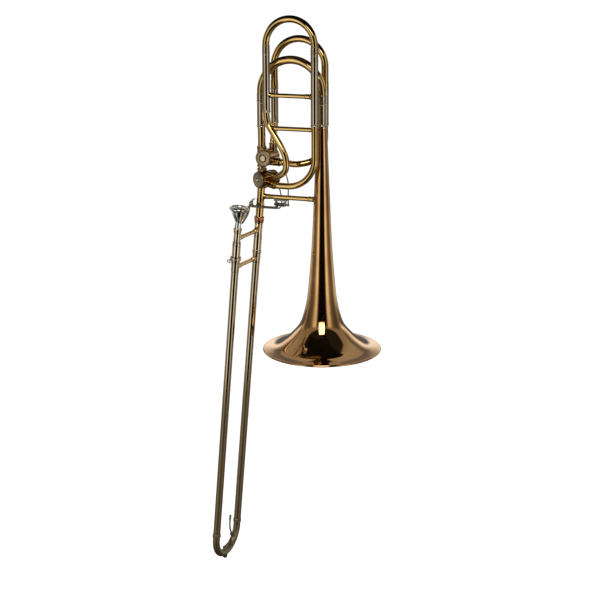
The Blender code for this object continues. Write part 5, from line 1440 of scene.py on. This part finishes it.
# %% [markdown]
# ## Inner and outer slide
#
# The inner tubes are chromed and polished, because the outer ones run over them. A barrel closes
# over the top of each. The outer tubes are nickel silver with a short ferrule at both ends. Each
# slide has a brace, and the inner one also has a gusset, a short bar that runs into the tenon. A
# fluted ring with a hook and a wire loop locks the two slides together.

# %% Tubes of both slides
for across, side_name in ((0, "bell_side"), (SPREAD, "mouth_side")):
    inner_node, barrel_node, outer_node = (
        kind + "_" + side_name for kind in ("inner_tube", "cork_barrel", "outer_tube"))
    base = down_slide(0, across)
    tube = turned("turned_" + inner_node,
                  [(6.5, -28.5), (6.7, -30.5), (6.7, -655), (6.15, -655), (6.15, -28.5)], base,
                  up_slide)
    dress(tube, "chromed_nickel", "inner_slide", inner_node)
    barrel = turned("turned_" + barrel_node,
                    [(8.5, -28.5), (8.5, -33), (8.75, -33.4), (8.75, -34.4), (8.5, -34.8),
                     (8.5, -60.5), (9.3, -61.1), (9.3, -63.5), (7.05, -63.5), (7.05, -28.5)], base,
                    up_slide)
    dress(barrel, "nickel_silver", "inner_slide", barrel_node)
    outer = turned("turned_" + outer_node,
                   [(9.2, -63.8), (9.2, -66.4), (8.3, -67.2), (8.3, -85.8), (8.05, -86.3),
                    (7.6, -86.8), (7.6, -664.4), (8.6, -665.2), (8.8, -666), (8.8, -667.4),
                    (8.5, -668), (8.5, -670), (8.8, -670.6), (8.8, -671.4), (7.95, -671.4),
                    (7.95, -666.2), (7.05, -665.4), (7.05, -63.8)], base, up_slide)
    dress(outer, "hazed_nickel", "outer_slide", outer_node)

INNER_BRACE, OUTER_BRACE = 19.5, 78.3
brace("inner_brace", "inner_slide", down_slide(INNER_BRACE), down_slide(INNER_BRACE, SPREAD),
      SLIDE_BRACE, 11, [(down_slide(INNER_BRACE), SLIDE_DOWN, 8.1),
                        (down_slide(INNER_BRACE, SPREAD), SLIDE_DOWN, 7.1)], "yellow_brass",
      [down_slide(INNER_BRACE, 27), down_slide(INNER_BRACE - 1, 17), down_slide(13.5, 9.5),
       down_slide(6, 5)])
brace("outer_brace", "outer_slide", down_slide(OUTER_BRACE), down_slide(OUTER_BRACE, SPREAD),
      SLIDE_BRACE, 12, [(down_slide(OUTER_BRACE), SLIDE_DOWN, 8.3),
                        (down_slide(OUTER_BRACE, SPREAD), SLIDE_DOWN, 8.3)], "yellow_brass")

LOOP_RADIUS, LOOP_WIRE_RADIUS, LOOP_STAND_OFF = 2.6, 0.9, 13.4
hook_way = Matrix.Rotation(math.radians(-117), 4, SLIDE_DOWN) @ ACROSS
lock_base = down_slide(0, SPREAD)
lock_ring = turned("turned_slide_lock_ring",
                   [(10.85, -56.5), (11.15, -56.8), (11.15, -58.3), (10.9, -58.5), (10.9, -61),
                    (11.15, -61.2), (11.15, -62.6), (10.85, -62.9), (9.65, -62.9), (9.65, -56.5)],
                   lock_base, up_slide, 4 * FLUTES, edge=0)
press_in(lock_ring, lock_base, up_slide, (-61.1, -58.4), 10.9, flute)
hook = block("hook", (1.6, 5, 14), down_slide(64.9, SPREAD) + hook_way * 10.75 * MM,
             facing(up_slide, hook_way))
combine(lock_ring, hook)
start_clean()
bpy.ops.mesh.primitive_torus_add(major_segments=32, minor_segments=12,
                                 major_radius=LOOP_RADIUS * MM,
                                 minor_radius=LOOP_WIRE_RADIUS * MM)
loop = settle(bpy.context.object, down_slide(66, SPREAD) + hook_way * LOOP_STAND_OFF * MM,
              hook_way.cross(SLIDE_DOWN))
loop.name = "bent_slide_lock_loop"
dress(loop, "dark_nickel", "slide_lock")
dress(lock_ring, "nickel_silver", "slide_lock", "slide_lock_ring")
print("hand slide's tubes made")

# %% [markdown]
# ## The hand slide's bow
#
# The bow at the bottom is a half circle of wider tube. It carries a rubber bumper to stand on, and
# a sprung water key at its bell side: a saddle with two ears, a lever with a touch-piece, and a cup
# whose cork closes a small hole in the real bow.

# %% Bow, bumper and water key
BOW_TUBE, BOW_RADIUS = 15.2, SPREAD / 2
BOW_TOP, BOW_SPRING = 666.4, 679.4        # down the slide: its ends, and where it starts to curve
KEY_RISE = 6.4                            # of the key's pivot above the bow
KEY_PIN, KEY_WIRE = 4, 3.4
CORK_DEPTH = 1.6
KEY_SPRING_WIRE, KEY_SPRING_RADIUS = 0.7, 2.75
KEY_SPRING_START, KEY_SPRING_PITCH = -2.65, 0.35
bow_centre = down_slide(BOW_SPRING, BOW_RADIUS)
bow_route = [down_slide(BOW_TOP),
             *arc(bow_centre, ACROSS, SLIDE_DOWN, BOW_RADIUS * MM, 0, math.pi, 48),
             down_slide(BOW_TOP, SPREAD)]
dress(bent("bent_slide_bow", bow_route, BOW_TUBE, TUBE_WALL), "hazed_nickel", "outer_slide",
      "slide_bow")
bow_cutter = bent("bow_cutter", bow_route, BOW_TUBE + 0.1)
bumper = turned("moulded_slide_bumper",
                [(4.3, 11), (4.6, 10.6), (5, 6), (5, 5), (4.6, 2), (4.2, 0.9), (3.4, 0)],
                bow_centre + SLIDE_DOWN * 60.15 * MM, up_slide, 40, hollow=False)


def cut_by(piece, cutter):
    """Cut a piece by a copy of a cutter that is used again."""
    start_clean()
    cutter.select_set(True)
    bpy.context.view_layer.objects.active = cutter
    bpy.ops.object.duplicate()
    return combine(piece, bpy.context.object, "DIFFERENCE")


cut_by(bumper, bow_cutter)
dress(bumper, "black_rubber", "outer_slide", "slide_bumper")


def bow_inner(angle, rise):
    """A point above the bow's inner side."""
    turn = math.radians(angle)
    return bow_centre + (ACROSS * math.cos(turn) + SLIDE_DOWN * math.sin(turn)) * (
        BOW_RADIUS - BOW_TUBE / 2 - rise) * MM


pivot = bow_inner(33, KEY_RISE)
outward = (pivot - bow_centre).normalized()
key_saddle = block("filed_water_key_saddle", (1.8, 7, 9), pivot + outward * 5.5 * MM,
                   facing(SLIDE_NORMAL, outward))
for side in (-1, 1):
    ear = block("ear", (8, 5, 1.4), pivot + outward * 1.6 * MM + SLIDE_NORMAL * side * 3.8 * MM,
                facing(SLIDE_NORMAL, outward))
    combine(key_saddle, ear)
    screw = screw_head(f"water_key_screw_{'front' if side > 0 else 'back'}",
                       pivot + SLIDE_NORMAL * side * 4.5 * MM, SLIDE_NORMAL * side, 1.7, 0.8)
    dress(screw, "spring_steel", "outer_slide")
cut_by(key_saddle, bow_cutter)
dress(key_saddle, "dark_nickel", "outer_slide", "water_key_saddle")
start_clean()
bow_cutter.select_set(True)
bpy.ops.object.delete()

half_pin = SLIDE_NORMAL * 2.6 * MM
key = rod("cast_water_key", pivot - half_pin, pivot + half_pin, KEY_PIN)
touch = pivot - outward * 13 * MM - SLIDE_DOWN * 10 * MM
tip = touch - SLIDE_DOWN * 33 * MM - ACROSS * 4 * MM
cup = bow_inner(99, 1.2)
cup_way = (bow_centre - cup).normalized()
near_cup = cup + cup_way * 4.4 * MM
for name, spots in (("touch_arm", [tip, tip + SLIDE_DOWN * 14 * MM, touch, pivot]),
                    ("cup_arm", [pivot, bow_inner(66, KEY_RISE), near_cup])):
    combine(key, bent(name, smooth_route(spots, 6), KEY_WIRE))
combine(key, block("touch_piece", (KEY_WIRE, 12, 4.2), tip + SLIDE_DOWN * 3 * MM,
                   facing(SLIDE_NORMAL, ACROSS), 0.7))
combine(key, turned("cup", [(3.4, 5), (4, 4.4), (4, CORK_DEPTH)], cup, cup_way, 32, hollow=False,
                    edge=0))
dress(key, "dark_nickel", "water_key_lever", "water_key")
cork = turned("cut_water_key_cork", [(3.6, CORK_DEPTH + 0.6), (3.6, 0)],
              cup + cup_way * 0.15 * MM, cup_way, 32, hollow=False)
dress(cork, "cork", "water_key_lever")

coil = helix(pivot + SLIDE_NORMAL * KEY_SPRING_START * MM, ACROSS, SLIDE_DOWN,
             KEY_SPRING_RADIUS * MM, SLIDE_NORMAL * KEY_SPRING_PITCH * MM, math.radians(200), 1, 48)
dress(bent("water_key_spring", coil, KEY_SPRING_WIRE, bevel=3), "spring_steel", "outer_slide")
print("bow and water key made")

# %% [markdown]
# ## Mouthpiece
#
# The mouthpiece is one turned piece, silver-plated: rim, cup, throat and shank. Its profile is
# rounded by adding points on a smooth line through the drawn ones, because each face would show
# in such a bright finish.

# %% The mouthpiece
MOUTHPIECE_OUT = ((16.65, 45), (17.4, 44.75), (18.1, 44.2), (18.9, 43.4), (19.5, 42.4),
                  (19.5, 41.2), (19.1, 40), (17.1, 38.4), (15.1, 37), (14.2, 34), (13.5, 31),
                  (12.5, 28), (11, 25), (9.2, 21.8), (7.5, 18.6), (6.5, 15.6), (6.1, 12.5), (6.2, 9),
                  (6.4, 4), (6.35, 0))
MOUTHPIECE_IN = ((3.5, 7), (3.5, 14), (3.5, 20), (4.6, 23.4), (7.2, 26.9), (10.3, 30.9),
                 (12.42, 35.12), (13.3, 38.4), (13.8, 41.4), (14.3, 43.1), (15.2, 44.2))


def rounded(points, between=3):
    """A smooth line of (radius, height) through drawn ones."""
    route = smooth_route([mm(radius, 0, height) for radius, height in points], between)
    return [(spot.x / MM, spot.z / MM) for spot in route]


mouthpiece = turned("turned_mouthpiece",
                    [*rounded(MOUTHPIECE_OUT), (5.7, -31), (4.7, -31), *rounded(MOUTHPIECE_IN)],
                    down_slide(0, SPREAD), up_slide, 96, edge=0)
dress(mouthpiece, "silver_plate", "mouthpiece_set", "mouthpiece")
print("mouthpiece made,", made_faces, "faces in all")

# %% [markdown]
# ## Ends and small things
#
# What is left are the screws at the ends of the lever axle. Then the solids that are still shown
# are printed.

# %% Axle screws, and the solids still shown
for side in (-1, 1):
    screw = screw_head(f"axle_screw_{'left' if side < 0 else 'right'}",
                       mm(AXLE_X + side * AXLE_LENGTH / 2, 0, AXLE_Z), ACROSS_X * side, 2.5, 0.9)
    dress(screw, "dark_nickel", "bell_section")

left_over = [name for name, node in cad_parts.items()
             if not node.hide_render and name not in ("rotor_1", "rotor_2")]
print("solids still shown:", left_over)
